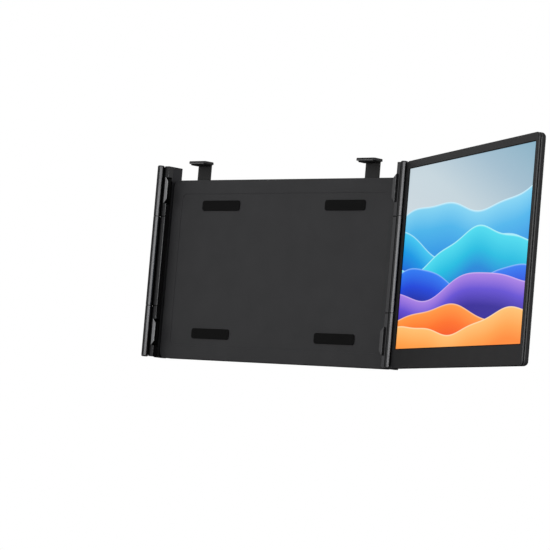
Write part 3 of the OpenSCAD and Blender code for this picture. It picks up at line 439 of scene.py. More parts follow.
def anywhere(point):
    """Takes in every point."""
    return True


def round_corners(piece, axis, width, chosen=anywhere):
    """Rounds those edges along one axis whose two ends both satisfy chosen(point)."""
    bevel(piece, lambda edge: along(edge, axis) and both_ends(edge, chosen), width, corner_steps)


def copy_of(piece, shift):
    """A copy with a mesh of its own, moved by so many millimetres."""
    activate(piece)
    bpy.ops.object.duplicate()
    bpy.ops.transform.translate(value=Vector(shift) * mm)
    bpy.ops.object.transform_apply(location=True, rotation=False, scale=False)
    return bpy.context.object


def one_piece(name, pieces):
    """Joins the copies of a repeated shape into one piece."""
    activate(pieces[0])
    for piece in pieces:
        piece.select_set(True)
    bpy.ops.object.join()
    bpy.context.object.name = name
    return bpy.context.object


rubber = soft_rubber("rubber", pad_black)
pads_low, pads_high = box_of("lid_pads")
pad = block("lid_pad", pads_low, (pads_low.x + pad_w, pads_high.y, pads_low.z + pad_h))
round_corners(pad, 1, pad_radius)
ease(pad, lambda p: near(p.y, pads_low.y), pad_edge)
right, up = (pads_high.x - pads_low.x - pad_w, 0, 0), (0, 0, pads_high.z - pads_low.z - pad_h)
pads = [pad, copy_of(pad, right)]
pads += [copy_of(p, up) for p in pads]
pads = one_piece("lid_rest_pads", pads)
finish(pads, rubber)
put_in_place_of("lid_pads", pads)


# ---------- Inside the carrier ----------
# Nylon blocks guide the two flat slide arms, wire springs on plugs pull them back in, and two
# steel plates keep the hooks' necks on their rails. All of it is closed in by the covers.
nylon_white = (0.66, 0.65, 0.60, 1)
plate_steel = (0.55, 0.56, 0.58, 1)
spring_steel = (0.42, 0.43, 0.45, 1)


def paint(nodes, material):
    """Gives CAD nodes that are shown as they are their finish."""
    for name in nodes:
        slots = frame["nodes"][name].data.materials
        slots.clear()
        slots.append(material)


def metal(name, colour, roughness, grain, relief=0.15, edge_tint=white, stretch=(1, 1, 1)):
    """Metal with a grain of so many millimetres, longer along an axis where stretch is above 1."""
    material, tree, skin = new_finish(name)
    skin.inputs["Metallic"].default_value = 1
    skin.inputs["Specular Tint"].default_value = edge_tint
    place = add_node(tree, "TexCoord")
    spread = add_node(tree, "Mapping")
    spread.inputs["Scale"].default_value = [1 / (grain * mm * s) for s in stretch]
    lines = add_node(tree, "TexNoise", Scale=1, Detail=3)
    join(tree, (place, "Object"), (spread, "Vector"))
    join(tree, (spread, 0), (lines, "Vector"))
    mottle(tree, skin, lines, colour, shades=(0.88, 1.1),
           roughness=(roughness - 0.05, roughness + 0.06))
    emboss(tree, skin, lines, relief, depth=0.01)
    return material


nylon = matt_plastic("nylon", nylon_white, grain=1.5, relief=0.1, specular=0.5)
steel_plate = metal("steel_plate", plate_steel, roughness=0.32, grain=0.2, stretch=(20, 1, 1))
spring_wire = metal("spring_wire", spring_steel, roughness=0.25, grain=0.3)
paint(["arm_guides"], nylon)
paint(["spring_posts"], case_black)
paint(["side_springs"], spring_wire)
paint(["hook_retainers"], steel_plate)


# ---------- Spines and slide arms ----------
# Milled aluminium walls beside the lid that carry the bars, bead-blasted and anodised dark grey.
# The left one's two flat arms run into the carrier and let its bar pull out.
spine_grey = (0.035, 0.035, 0.037, 1)
arm_grey = (0.10, 0.10, 0.105, 1)
dark_edge_tint = (0.12, 0.12, 0.12, 1)
spine_edge = 0.4
spine_high = box_of("right_spine")[1]
# the right wall's flange reaches further in, so the left wall gives their inner face
wall_in = -box_of("left_spine")[1].x
blasted = metal("blasted_metal", spine_grey, roughness=0.48, grain=0.25, relief=0.3,
                edge_tint=dark_edge_tint)
arm_metal = metal("arm_metal", arm_grey, roughness=0.4, grain=0.25, edge_tint=dark_edge_tint,
                  stretch=(30, 1, 1))
paint(["slide_arms"], arm_metal)

for side in ("left", "right"):
    spine = merged_copy(f"{side}_spine", f"{side}_side_wall")
    ease(spine, lambda p: near(abs(p.x), spine_high.x), spine_edge)
    ease(spine, lambda p: near(p.y, spine_high.y) and abs(p.x) > wall_in - same_place, spine_edge)
    finish(spine, blasted)
    put_in_place_of(f"{side}_spine", spine)


# ---------- Bars ----------
# Extruded aluminium in three lengths to a bar: a round barrel in front, joined by a neck to a flat
# band beside the lid, satin black anodised with fine die lines, and a thin seam between lengths.
bar_black = (0.036, 0.036, 0.037, 1)
bar_edge_tint = (0.02, 0.02, 0.02, 1)
# a painted highlight on the right bar's band
band_painted_highlight = (0.058, 0.058, 0.060, 1)
long_edge = 0.5
seam_edge = 0.2
beyond = 0.1
# the right bar's middle length is a band alone, as the display's barrel stands beside it
band_low, band_high = box_of("right_bar_middle")


def calculate(tree, operation, *inputs):
    """A Math node; each input is a number or a (node, socket) pair."""
    made = add_node(tree, "Math", operation=operation)
    for place, value in enumerate(inputs):
        if isinstance(value, tuple):
            join(tree, value, (made, place))
        else:
            made.inputs[place].default_value = value
    return made, 0


def fed_by(skin, title):
    """The (node, socket) pair that one of the shader's sockets is joined to."""
    link = skin.inputs[title].links[0]
    return link.from_node, link.from_socket.name


def zone(material, limits, colour, roughness=None, origin=Matrix()):
    """Another tone, and gloss where one is given, between limits in millimetres along some axes."""
    tree = material.node_tree
    skin = tree.nodes["Principled BSDF"]
    place = add_node(tree, "TexCoord")
    local = add_node(tree, "Mapping", vector_type="TEXTURE")
    local.inputs["Location"].default_value = origin.translation
    local.inputs["Rotation"].default_value = origin.to_euler()
    split = add_node(tree, "SeparateXYZ")
    join(tree, (place, "Object"), (local, "Vector"))
    join(tree, (local, 0), (split, 0))
    inside = 1
    for axis, (low, high) in limits.items():
        middle, half = (low + high) / 2 * mm, (high - low) / 2 * mm
        between = calculate(tree, "COMPARE", (split, axis), middle, half)
        inside = calculate(tree, "MULTIPLY", inside, between)
    tone = add_node(tree, "MixRGB", Color2=colour)
    join(tree, inside, (tone, "Fac"))
    join(tree, fed_by(skin, "Base Color"), (tone, "Color1"))
    join(tree, (tone, 0), (skin, "Base Color"))
    if roughness is not None:
        outside = calculate(tree, "SUBTRACT", 1, inside)
        kept = calculate(tree, "MULTIPLY", fed_by(skin, "Roughness"), outside)
        join(tree, calculate(tree, "MULTIPLY_ADD", inside, roughness, kept), (skin, "Roughness"))


def extruded(name):
    """Satin black anodised metal with die lines along the bar."""
    return metal(name, bar_black, roughness=0.2, grain=0.12, relief=0.12, edge_tint=bar_edge_tint,
                 stretch=(1, 1, 300))


bar_metal = extruded("bar_metal")
# the right bar's copy is painted lighter, and a little rougher, across its band: a painted highlight
right_bar_metal = extruded("right_bar_metal")
zone(right_bar_metal, {"X": (band_low.x - beyond, band_high.x + beyond)}, band_painted_highlight, roughness=0.25)


def bar_length(node, name, skin):
    """One length of a bar: its band's front edges and its ends' outlines eased."""
    piece = merged_copy(node, name)
    low, high = box_of(node)

    def on_band_front(p):
        return near(p.y, band_low.y) and (near(abs(p.x), band_low.x) or near(abs(p.x), band_high.x))

    ease(piece, on_band_front, long_edge)
    ease(piece, lambda p: near(p.z, low.z) or near(p.z, high.z), seam_edge, segments=2)
    finish(piece, skin)
    put_in_place_of(node, piece)


for side, skin in (("left", bar_metal), ("right", right_bar_metal)):
    for part in ("top", "middle", "bottom"):
        bar_length(f"{side}_bar_{part}", f"{side}_length_{part}", skin)


# ---------- Caps ----------
# Moulded plugs of the same black plastic as the covers, pressed into both ends of each bar's
# barrel, with a rounded rim.
cap_height = 1.6
cap_rim = 1.4
cap_sides = 64


def upright_disc(x, y, low, high, radius, vertices):
    """A cylinder primitive between two heights, its place in its mesh."""
    bpy.ops.object.select_all(action="DESELECT")
    bpy.ops.mesh.primitive_cylinder_add(vertices=vertices, radius=radius * mm, depth=(high - low) * mm,
                                        location=Vector((x, y, (low + high) / 2)) * mm)
    bpy.ops.object.transform_apply(location=True, rotation=True, scale=True)
    return bpy.context.object


for side in ("left", "right"):
    low, high = box_of(f"{side}_bar_caps")
    radius = (high.x - low.x) / 2
    centre = (low + high) / 2
    caps = []
    for bottom, top, rim in ((high.z - cap_height, high.z, high.z), (low.z, low.z + cap_height, low.z)):
        cap = upright_disc(centre.x, centre.y, bottom, top, radius, cap_sides)
        ease(cap, lambda p: near(p.z, rim), cap_rim, segments=6)
        caps.append(cap)
    caps = one_piece(f"{side}_plugs", caps)
    finish(caps, case_black)
    put_in_place_of(f"{side}_bar_caps", caps)


# ---------- Claws ----------
# Tapered aluminium fingers in pockets of the bands, two screws each, grey in front with painted
# shade on their flanks behind; the right-hand pair has darker copies of both, as painted shade. A
# thin rubber pad behind each finger grips the lid's face.
claw_grey = (0.20, 0.20, 0.205, 1)
# painted shade on the flanks behind the grey front; the right-hand pair's darker front and flanks are
# painted shade too
claw_flank_painted_shade = (0.012, 0.012, 0.012, 1)
claw_grey_painted_shade = (0.075, 0.075, 0.077, 1)
claw_flank_deeper_painted_shade = (0.055, 0.055, 0.056, 1)
claw_edge = 0.35
grip_edge = 0.25
claw_foot = 2
claw_thick = 4
claw_height, claw_tip = 31, 21
grip_height, grip_tip = 21, 19
claws_low, claws_high = box_of("right_claws")
claw_rise = claws_high.z - claws_low.z - claw_height
facing = 0.9


def grey_front_painted_shade_behind(name, front, flank):
    """Grained grey metal in front, as deep as its edges are eased, with painted shade behind."""
    material = metal(name, front, roughness=0.42, grain=0.2, relief=0.3, edge_tint=dark_edge_tint)
    # everything behind the front's eased edge takes the painted shade
    zone(material, {"Y": (claws_low.y + claw_edge, claws_high.y + beyond)}, flank)
    return material


def points(face, way):
    """True for a face that points one way."""
    return face.normal.dot(Vector(way)) > facing


def middle_of(face):
    """The middle of a face, in millimetres."""
    return face.calc_center_median() / mm


def cut(point, normal):
    """Cuts the selected faces along the plane through a point in millimetres."""
    bpy.ops.mesh.bisect(plane_co=Vector(point) * mm, plane_no=normal)


def draw_out(shift):
    """Extrudes the selected faces by so many millimetres."""
    bpy.ops.mesh.extrude_region_move(TRANSFORM_OT_translate={"value": Vector(shift) * mm})


def narrow_tip(piece, factor):
    """Shrinks the face that points inwards along Z about its own middle."""
    activate(piece)
    bpy.ops.object.mode_set(mode="EDIT")
    pick(piece, "faces", lambda f: points(f, (-1, 0, 0)))
    middle = [f.calc_center_median() for f in bmesh.from_edit_mesh(piece.data).faces if f.select][0]
    bpy.ops.transform.resize(value=(1, 1, factor), center_override=middle)
    bpy.ops.object.mode_set(mode="OBJECT")


def mirrored_copy(piece, axis):
    """A copy reflected in the plane through the origin across one axis, facing outwards."""
    activate(piece)
    bpy.ops.object.duplicate()
    bpy.ops.object.mode_set(mode="EDIT")
    bpy.ops.mesh.select_all(action="SELECT")
    bpy.ops.transform.mirror(constraint_axis=[axis == a for a in range(3)], center_override=(0, 0, 0))
    bpy.ops.mesh.normals_make_consistent(inside=False)
    bpy.ops.object.mode_set(mode="OBJECT")
    return bpy.context.object


def lower_one(node, height):
    """The corners of the lower of a node's two like solids, in millimetres."""
    low, high = box_of(node)
    return low, Vector((high.x, high.y, low.z + height))


def claw_shape(low, high):
    """A tapered finger with a foot drawn back into its pocket."""
    claw = block("claw", low, (high.x, low.y + claw_thick, high.z))
    narrow_tip(claw, claw_tip / claw_height)
    bpy.ops.object.mode_set(mode="EDIT")
    bpy.ops.mesh.select_all(action="SELECT")
    cut((high.x - claw_foot, 0, 0), (1, 0, 0))
    pick(claw, "faces", lambda f: points(f, (0, 1, 0)) and middle_of(f).x > high.x - claw_foot)
    draw_out((0, high.y - low.y - claw_thick, 0))
    bpy.ops.object.mode_set(mode="OBJECT")
    ease(claw, anywhere, claw_edge)
    return claw


def grip_shape(low, high):
    """A tapered pad, its outer end left square."""
    grip = block("claw_pad", low, high)
    narrow_tip(grip, grip_tip / grip_height)
    ease(grip, lambda p: p.x < high.x - same_place, grip_edge)
    return grip


claw = claw_shape(*lower_one("right_claws", claw_height))
grip = grip_shape(*lower_one("right_claw_pads", grip_height))
bright_claw = grey_front_painted_shade_behind("bright_claw", claw_grey, claw_flank_painted_shade)
# a darker copy for the right-hand pair: painted shade over front and flanks
dim_claw = grey_front_painted_shade_behind("dim_claw", claw_grey_painted_shade, claw_flank_deeper_painted_shade)
for shape, node, name, skins in ((claw, "claws", "claw_pair", (dim_claw, bright_claw)),
                                 (grip, "claw_pads", "grip_pair", (rubber, rubber))):
    right_pair = one_piece("right_" + name, [shape, copy_of(shape, (0, 0, claw_rise))])
    left_pair = mirrored_copy(right_pair, 0)
    left_pair.name = "left_" + name
    for side, pair, skin in (("right", right_pair, skins[0]), ("left", left_pair, skins[1])):
        finish(pair, skin)
        put_in_place_of(f"{side}_{node}", pair)


# ---------- Hinge ----------
# Two ground steel pins through the right bar, gripped by slit steel clips inside the display's
# barrel, with thin black washers in the seams. The left bar has a tie rod in the pins' place.
pin_steel = (0.60, 0.60, 0.62, 1)
washer_black = (0.012, 0.012, 0.012, 1)
ground_steel = metal("ground_steel", pin_steel, roughness=0.2, grain=0.3, stretch=(1, 1, 0.3))
black_nylon = matt_plastic("black_nylon", washer_black, grain=0.8, roughness=0.5)
paint(["hinge_pins", "left_tie_rod", "torque_clips"], ground_steel)
paint(["hinge_washers"], black_nylon)
paint(["hinge_leaf"], bar_metal)


# ---------- Seam shims ----------
# Black rubber shims a little smaller than the bars' section fill the seams, so that no light shows
# through between two lengths. In the hinge's seams the washers take the barrel's place.
shim_inset = 0.4
shim_edge = 0.08
shim_sides = 48
neck_front_y, neck_rear_y = -15.4, -13
neck_into_barrel = 1.6
barrel_low, barrel_high = box_of("right_bar_caps")
barrel = (barrel_low + barrel_high) / 2
barrel_radius = (barrel_high.x - barrel_low.x) / 2
lengths = [box_of(f"left_bar_{part}") for part in ("bottom", "middle", "top")]
seams = [(under[1].z, over[0].z) for under, over in zip(lengths, lengths[1:])]


def band_shim(low, high):
    """Band and neck of one right-hand seam, between two heights."""
    shim = block("shim", (band_low.x + shim_inset, band_low.y + shim_inset, low),
                 (band_high.x - shim_inset, band_high.y - shim_inset, high))
    bpy.ops.object.mode_set(mode="EDIT")
    neck_low, neck_high = neck_front_y + shim_inset, neck_rear_y - shim_inset
    for y in (neck_low, neck_high):
        bpy.ops.mesh.select_all(action="SELECT")
        cut((0, y, 0), (0, 1, 0))
    pick(shim, "faces", lambda f: points(f, (1, 0, 0)) and neck_low < middle_of(f).y < neck_high)
    draw_out((barrel_low.x + neck_into_barrel - band_high.x + shim_inset, 0, 0))
    bpy.ops.object.mode_set(mode="OBJECT")
    return shim


def barrel_shim(low, high):
    """Disc in one seam of the left barrel, between two heights."""
    disc = upright_disc(-barrel.x, barrel.y, low, high, barrel_radius - shim_inset, shim_sides)
    ease(disc, anywhere, shim_edge, segments=2)
    return disc


right_shims = one_piece("right_seam_shims", [band_shim(*seam) for seam in seams])
left_shims = [mirrored_copy(right_shims, 0)] + [barrel_shim(*seam) for seam in seams]
left_shims = one_piece("left_seam_shims", left_shims)
for piece, body in ((right_shims, "carrier"), (left_shims, "left_bar")):
    finish(piece, rubber)
    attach(piece, body)


# ---------- Top hooks ----------
# Flat black plastic hooks: a head with round corners over the lid's top edge, with a painted
# highlight along its front, on a neck that slides in the carrier and ends in a wider stop. A rubber
# pad sits under the head.
hook_black = (0.005, 0.005, 0.005, 1)
# painted highlight along the head's front, and how tall it is
hook_painted_highlight = (0.11, 0.11, 0.111, 1)
highlight_height = 0.8
hook_corner = 3
head_height = 3
head_top_edge = 0.7
head_low_edge = 0.5
neck_half = 10
neck_front = -4.25
stop_height = 5
stop_reach = 3
hook_pad_edge = 0.5
pad_corner = 2


def hook_finish(name, low, high):
    """Dark plastic with a painted highlight, glossier too, along its front edge between two corners in
    millimetres.
    """
    material = matt_plastic(name, hook_black, grain=0.35, roughness=0.6, specular=0.25)
    zone(material, {axis: (a, b) for axis, a, b in zip("XYZ", low, high)}, hook_painted_highlight, roughness=0.36)
    return material


def hook(node, name):
    """Head, neck and stop drawn out of one block."""
    low, high = box_of(node)
    head_low = high.z - head_height
    middle = (low.x + high.x) / 2
    piece = block(name, (low.x, low.y, head_low), high)

    def under_head(face):
        return points(face, (0, 0, -1)) and near(middle_of(face).x, middle, neck_half)

    bpy.ops.object.mode_set(mode="EDIT")
    for point, normal in (((middle - neck_half, 0, 0), (1, 0, 0)),
                          ((middle + neck_half, 0, 0), (1, 0, 0)),
                          ((0, neck_front, 0), (0, 1, 0))):
        pick(piece, "faces", under_head)
        cut(point, normal)
    pick(piece, "faces", lambda f: under_head(f) and middle_of(f).y > neck_front)
    draw_out((0, 0, low.z + stop_height - head_low))
    draw_out((0, 0, -stop_height))
    for way in (-1, 1):
        pick(piece, "faces", lambda f: points(f, (way, 0, 0)) and middle_of(f).z < low.z + stop_height)
        draw_out((way * stop_reach, 0, 0))
    bpy.ops.object.mode_set(mode="OBJECT")
    round_corners(piece, 2, hook_corner, chosen=lambda p: p.z > head_low - same_place)
    ease(piece, lambda p: near(p.z, high.z), head_top_edge, segments=4)
    ease(piece, lambda p: near(p.z, head_low), head_low_edge)
    # the painted highlight: a strip along the lower front of the head
    highlight_low = (low.x + hook_corner, low.y - beyond, head_low)
    highlight_high = (high.x - hook_corner, low.y + hook_corner, head_low + highlight_height)
    finish(piece, hook_finish(f"{name}_plastic", highlight_low, highlight_high))
    put_in_place_of(node, piece)


def hook_pad(node, name):
    """A rubber strip with round corners and an eased underside."""
    low, high = box_of(node)
    piece = block(name, low, high)
    round_corners(piece, 2, pad_corner)
    ease(piece, lambda p: near(p.z, low.z), hook_pad_edge)
    finish(piece, rubber)
    put_in_place_of(node, piece)


for side in ("left", "right"):
    hook(f"{side}_hook", f"{side}_top_hook")
    hook_pad(f"{side}_hook_pad", f"{side}_top_hook_pad")


# ---------- Kickstand ----------
# A dark grey plastic plate behind the carrier on a steel pin between two brackets, with a scoop for
# the finger in its lower edge and two lengths of rubber as its foot.
stand_grey = (0.034, 0.034, 0.036, 1)
stand_edge = 0.6
stand_top = 137.9
bracket_edge = 0.4
foot_edge = 0.5
# the plate's back is level with the feet's
foot_low, foot_high = box_of("kickstand_foot")
bracket_rear = box_of("kickstand_brackets")[1].y
stand_skin = matt_plastic("stand_skin", stand_grey, grain=0.7, relief=0.35, roughness=0.5)

stand = merged_copy("kickstand_plate", "stand")
ease(stand, lambda p: near(p.y, foot_high.y) and p.z < stand_top, stand_edge)
finish(stand, stand_skin)
put_in_place_of("kickstand_plate", stand)

brackets = merged_copy("kickstand_brackets", "stand_brackets")
ease(brackets, lambda p: near(p.y, bracket_rear), bracket_edge)
finish(brackets, case_black)
put_in_place_of("kickstand_brackets", brackets)

feet = merged_copy("kickstand_foot", "stand_feet")
ease(feet, lambda p: near(p.z, foot_low.z), foot_edge)
finish(feet, rubber)
put_in_place_of("kickstand_foot", feet)
paint(["kickstand_pin"], ground_steel)


# ---------- Display's panel and light ----------
# The picture panel over a clear acrylic light guide, lit from a strip along its lower edge, in a
# pressed steel tray. It shows layered waves, from grey-blue over cyan, blue and violet to orange.
hinge_joint = next(j for j in frame["joints"] if j["name"] == "display_hinge")
hinge_axis = Vector((*hinge_joint["pos_m"][:2], 0))
open_angle = math.radians(29)
picture_w, picture_h = 344.2, 193.6
picture_corner = (13.9, 1.5, 21)
display_frame = Matrix.Translation(hinge_axis) @ Matrix.Rotation(-open_angle, 4, "Z")
acrylic_tint = (0.80, 0.83, 0.86, 1)
strip_cream = (0.80, 0.76, 0.50, 1)
sky_across, sky_up = 0.38, 0.62
crest_sharpness = 400
# stops of each ramp: place, red, green, blue
sky = ((0.3, 214, 222, 228), (0.66, 192, 208, 216), (0.84, 156, 184, 201), (1, 128, 170, 191))
# crest height, rise, swings (size, waves across, start), depth, and stops from crest to foot
waves = (
    (0.70, 0.10, ((0.060, 0.9, 0.6), (0.012, 2.7, 1.0)), 0.26,
     ((0, 214, 244, 252), (0.05, 126, 208, 240), (0.5, 70, 178, 232), (1, 40, 150, 226))),
    (0.60, -0.12, ((0.070, 1.1, 2.4), (0.014, 2.3, 0.2)), 0.22,
     ((0, 190, 240, 252), (0.05, 60, 196, 238), (0.5, 0, 150, 226), (1, 10, 96, 214))),
    (0.49, 0.08, ((0.075, 1.0, 4.1), (0.012, 3.1, 2.2)), 0.22,
     ((0, 196, 250, 252), (0.05, 70, 216, 236), (0.55, 0, 186, 222), (1, 0, 132, 214))),
    (0.39, -0.05, ((0.060, 1.3, 0.4), (0.010, 2.9, 1.4)), 0.20,
     ((0, 150, 200, 255), (0.05, 40, 120, 240), (0.5, 16, 66, 216), (1, 12, 22, 140))),
    (0.30, 0.06, ((0.050, 1.2, 3.2), (0.010, 2.4, 0.9)), 0.17,
     ((0, 226, 196, 246), (0.05, 166, 126, 226), (0.5, 96, 74, 208), (1, 44, 26, 150))),
    (0.20, -0.08, ((0.055, 0.9, 5.4), (0.010, 2.6, 0.3)), 0.20,
     ((0, 255, 214, 170), (0.05, 255, 150, 60), (0.5, 252, 110, 24), (1, 240, 74, 10))),
    (0.08, 0.07, ((0.040, 1.2, 1.2), (0.008, 3.3, 2.0)), 0.16,
     ((0, 255, 232, 196), (0.06, 255, 190, 108), (0.6, 255, 160, 70), (1, 255, 136, 44))),
)


def place_on_display(piece):
    """Moves a piece drawn in the display's own frame to its place at the open angle."""
    activate(piece)
    piece.matrix_world = display_frame
    bpy.ops.object.transform_apply(location=True, rotation=True, scale=True)


def plain(red, green, blue):
    """A colour as the eye counts it, 0 to 255, for a socket."""
    parts = [c / 255 for c in (red, green, blue)]
    return [c / 12.92 if c <= 0.04045 else ((c + 0.055) / 1.055) ** 2.4 for c in parts] + [1]


def colour_ramp(tree, value, stops):
    """A ramp through stops of place, red, green and blue."""
    made = add_node(tree, "ValToRGB")
    ramp = made.color_ramp
    while len(ramp.elements) < len(stops):
        ramp.elements.new(0.5)
    for element, (place, *colour) in zip(ramp.elements, stops):
        element.position, element.color = place, plain(*colour)
    join(tree, value, (made, "Fac"))
    return made, "Color"


def wave_picture(tree, across, up):
    """Layered waves, back to front: each covers what is under its crest line."""
    height_share = calculate(tree, "MULTIPLY", up, sky_up)
    picture = colour_ramp(tree, calculate(tree, "MULTIPLY_ADD", across, sky_across, height_share), sky)
    for height, rise, swings, depth, colours in waves:
        crest = calculate(tree, "MULTIPLY_ADD", across, rise, height)
        for size, count, start in swings:
            turn = calculate(tree, "MULTIPLY_ADD", across, count * 2 * math.pi, start)
            swing = calculate(tree, "SINE", turn)
            crest = calculate(tree, "MULTIPLY_ADD", swing, size, crest)
        under = calculate(tree, "SUBTRACT", crest, up)
        shade = colour_ramp(tree, calculate(tree, "DIVIDE", under, depth), colours)
        inside = calculate(tree, "MULTIPLY", under, crest_sharpness)
        inside[0].use_clamp = True
        cover = add_node(tree, "MixRGB")
        join(tree, inside, (cover, "Fac"))
        join(tree, picture, (cover, "Color1"))
        join(tree, shade, (cover, "Color2"))
        picture = (cover, "Color")
    return picture


def screen_finish():
    """Lit picture under a matt anti-glare film."""
    material, tree, skin = new_finish("screen")
    skin.inputs["Base Color"].default_value = (0.004, 0.004, 0.005, 1)
    skin.inputs["Specular IOR Level"].default_value = 0.06
    skin.inputs["Emission Strength"].default_value = 1
    place = add_node(tree, "TexCoord")
    flat = add_node(tree, "Mapping", vector_type="TEXTURE")
    flat.inputs["Location"].default_value = display_frame @ (Vector(picture_corner) * mm)
    flat.inputs["Rotation"].default_value = (0, 0, -open_angle)
    flat.inputs["Scale"].default_value = (picture_w * mm, 1, picture_h * mm)
    split = add_node(tree, "SeparateXYZ")
    gloss = add_node(tree, "MapRange", To_Min=0.28, To_Max=0.38)
    join(tree, (place, "Object"), (flat, "Vector"))
    join(tree, (noise(tree, scale=4000, detail=1), "Fac"), (gloss, "Value"))
    join(tree, (gloss, 0), (skin, "Roughness"))
    join(tree, (flat, 0), (split, 0))
    join(tree, wave_picture(tree, (split, "X"), (split, "Z")), (skin, "Emission Color"))
    return material


clear_acrylic = matt_plastic("clear_acrylic", acrylic_tint, grain=2, relief=0.02, roughness=0.15,
                             specular=0.5)
led_board = matt_plastic("led_board", strip_cream, grain=1, roughness=0.4, specular=0.4)
paint(["lcd_panel"], screen_finish())
paint(["light_guide"], clear_acrylic)
paint(["led_strip"], led_board)
paint(["panel_tray"], steel_plate)


# ---------- Driver board ----------
# A green circuit board with its chips, fed by an amber flat cable from the panel's lower edge, and
# with the buttons' switches and the sockets' bright steel shells along its outer side.
mask_green = (0.012, 0.085, 0.035, 1)
film_amber = (0.42, 0.17, 0.03, 1)
resin_black = (0.016, 0.016, 0.018, 1)
bright_steel = (0.62, 0.62, 0.64, 1)
cloth_black = (0.010, 0.010, 0.011, 1)
liner_black = (0.012, 0.012, 0.013, 1)
tongue_edge = 0.2
tongue_start, tongue_end = 331.9, 337.85
socket_y = 11.85
# width and thickness of the tongue in the picture socket and in the two smaller data sockets
picture_tongue, data_tongue = (8.3, 1.0), (6.05, 0.8)
socket_heights = ((30, picture_tongue), (46, data_tongue), (62, data_tongue))

board_green = matt_plastic("board_green", mask_green, grain=1.2, roughness=0.35, specular=0.5)
amber_film = matt_plastic("amber_film", film_amber, grain=3, relief=0.05, roughness=0.25,
                          specular=0.5)
chip_black = matt_plastic("chip_black", resin_black, grain=0.4, roughness=0.6, specular=0.3)
plated = metal("plated_shell", bright_steel, roughness=0.28, grain=0.4)
speaker_cloth = matt_plastic("speaker_cloth", cloth_black, grain=0.3, relief=0.6, roughness=0.8)
tongue_black = matt_plastic("tongue_black", liner_black, grain=0.8, relief=0.1)
paint(["driver_board"], board_green)
paint(["panel_flex"], amber_film)
paint(["board_chips"], chip_black)
paint(["button_switches", "usb_c_sockets", "mini_hdmi_socket"], plated)
paint(["speakers"], speaker_cloth)

tongues = []
for height, (wide, thick) in socket_heights:
    tongue = block("tongue", (tongue_start, socket_y - thick / 2, height - wide / 2),
                   (tongue_end, socket_y + thick / 2, height + wide / 2))
    ease(tongue, lambda p: near(p.x, tongue_end), tongue_edge, segments=2)
    tongues.append(tongue)
tongues = one_piece("socket_tongues", tongues)
place_on_display(tongues)
finish(tongues, tongue_black)
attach(tongues, "display")


# ---------- Display's case ----------
# A slim front bezel snapped into a deeper back cover, both moulded in matt black plastic, with a
# groove round the side where they meet. The cover swells into a housing for the electronics.
bezel_black = (0.0065, 0.0065, 0.007, 1)
# painted highlight for the strips along the sides
rim_painted_highlight = (0.030, 0.030, 0.031, 1)
shell_black = (0.0075, 0.0075, 0.008, 1)
# painted shade for the groove, the opening's lip and the underside
painted_shade_black = (0.002, 0.002, 0.002, 1)
bezel_edge = 0.45
opening_edge = 0.2
groove_edge = 0.15
case_corner = 5
case_low, case_high = Vector((4.6, 0, 0)), Vector((363.8, 0, 223.4))
face_y, rim_y, cover_y, back_y = 1.5, 3.5, 4.6, 10.3
housing_depth = 6
lip_width = 1
opening_lip = 0.9
turned_reach = 0.02
to_display = display_frame.inverted()
round_case = on_outline(case_low, case_high, case_corner)


def in_display(point):
    """A point in millimetres, as seen in the display's own frame."""
    return to_display @ (point * mm) / mm


def at_depth(depth, outline=True):
    """Test for a point at one depth of the case, on its outline or away from it."""

    def test(point):
        local = in_display(point)
        return near(local.y, depth, turned_reach) and round_case(local) == outline

    return test


bezel_skin = matt_plastic("bezel_skin", bezel_black, grain=0.4, relief=0.2, roughness=0.5,
                          specular=0.09)
shell_skin = matt_plastic("shell_skin", shell_black, roughness=0.55, specular=0.12)
underside = {"Z": (-beyond, bezel_edge)}
opening = {"X": (picture_corner[0] - opening_lip, picture_corner[0] + picture_w + opening_lip),
           "Z": (picture_corner[2] - opening_lip, picture_corner[2] + picture_h + opening_lip)}
# painted highlight on the bezel's sides, which are glossier than its face, and on the cover's lip;
# painted shade, dull too, in the groove, on the opening's lip and on the underside
for skin, limits, colour, roughness in (
        (bezel_skin, {"Y": (face_y + bezel_edge, rim_y)}, rim_painted_highlight, 0.26),
        (bezel_skin, {"Y": (rim_y, cover_y)}, painted_shade_black, 0.9),
        (bezel_skin, opening, painted_shade_black, 0.9),
        (bezel_skin, underside, painted_shade_black, 0.9),
        (shell_skin, {"Y": (face_y, cover_y)}, painted_shade_black, 0.9),
        (shell_skin, {"Y": (cover_y, cover_y + lip_width)}, rim_painted_highlight, 0.3),
        (shell_skin, underside, painted_shade_black, 0.9),
        (shell_skin, {"Y": (back_y, back_y + housing_depth)}, cover_black, 0.45)):
    zone(skin, limits, colour, roughness, display_frame)

bezel = merged_copy("front_bezel", "bezel")
ease(bezel, at_depth(face_y), bezel_edge)
ease(bezel, at_depth(face_y, outline=False), opening_edge, segments=2)
ease(bezel, at_depth(rim_y), groove_edge, segments=2)
finish(bezel, bezel_skin)
put_in_place_of("front_bezel", bezel)

shell = merged_copy("display_back_cover", "display_shell")
ease(shell, at_depth(cover_y), groove_edge, segments=2)
finish(shell, shell_skin)
put_in_place_of("display_back_cover", shell)


# ---------- Screws ----------
# Black-oxide steel machine screws with a cross slot in their heads, sunk into every case, spine
# and band.
oxide_black = (0.05, 0.05, 0.052, 1)
screw_black = metal("black_oxide", oxide_black, roughness=0.34, grain=0.2)
paint(["carrier_screws", "left_bar_screws", "right_bar_screws", "arm_screws", "left_claw_screws",
       "right_claw_screws", "board_screws", "back_cover_screws", "leaf_screws"], screw_black)


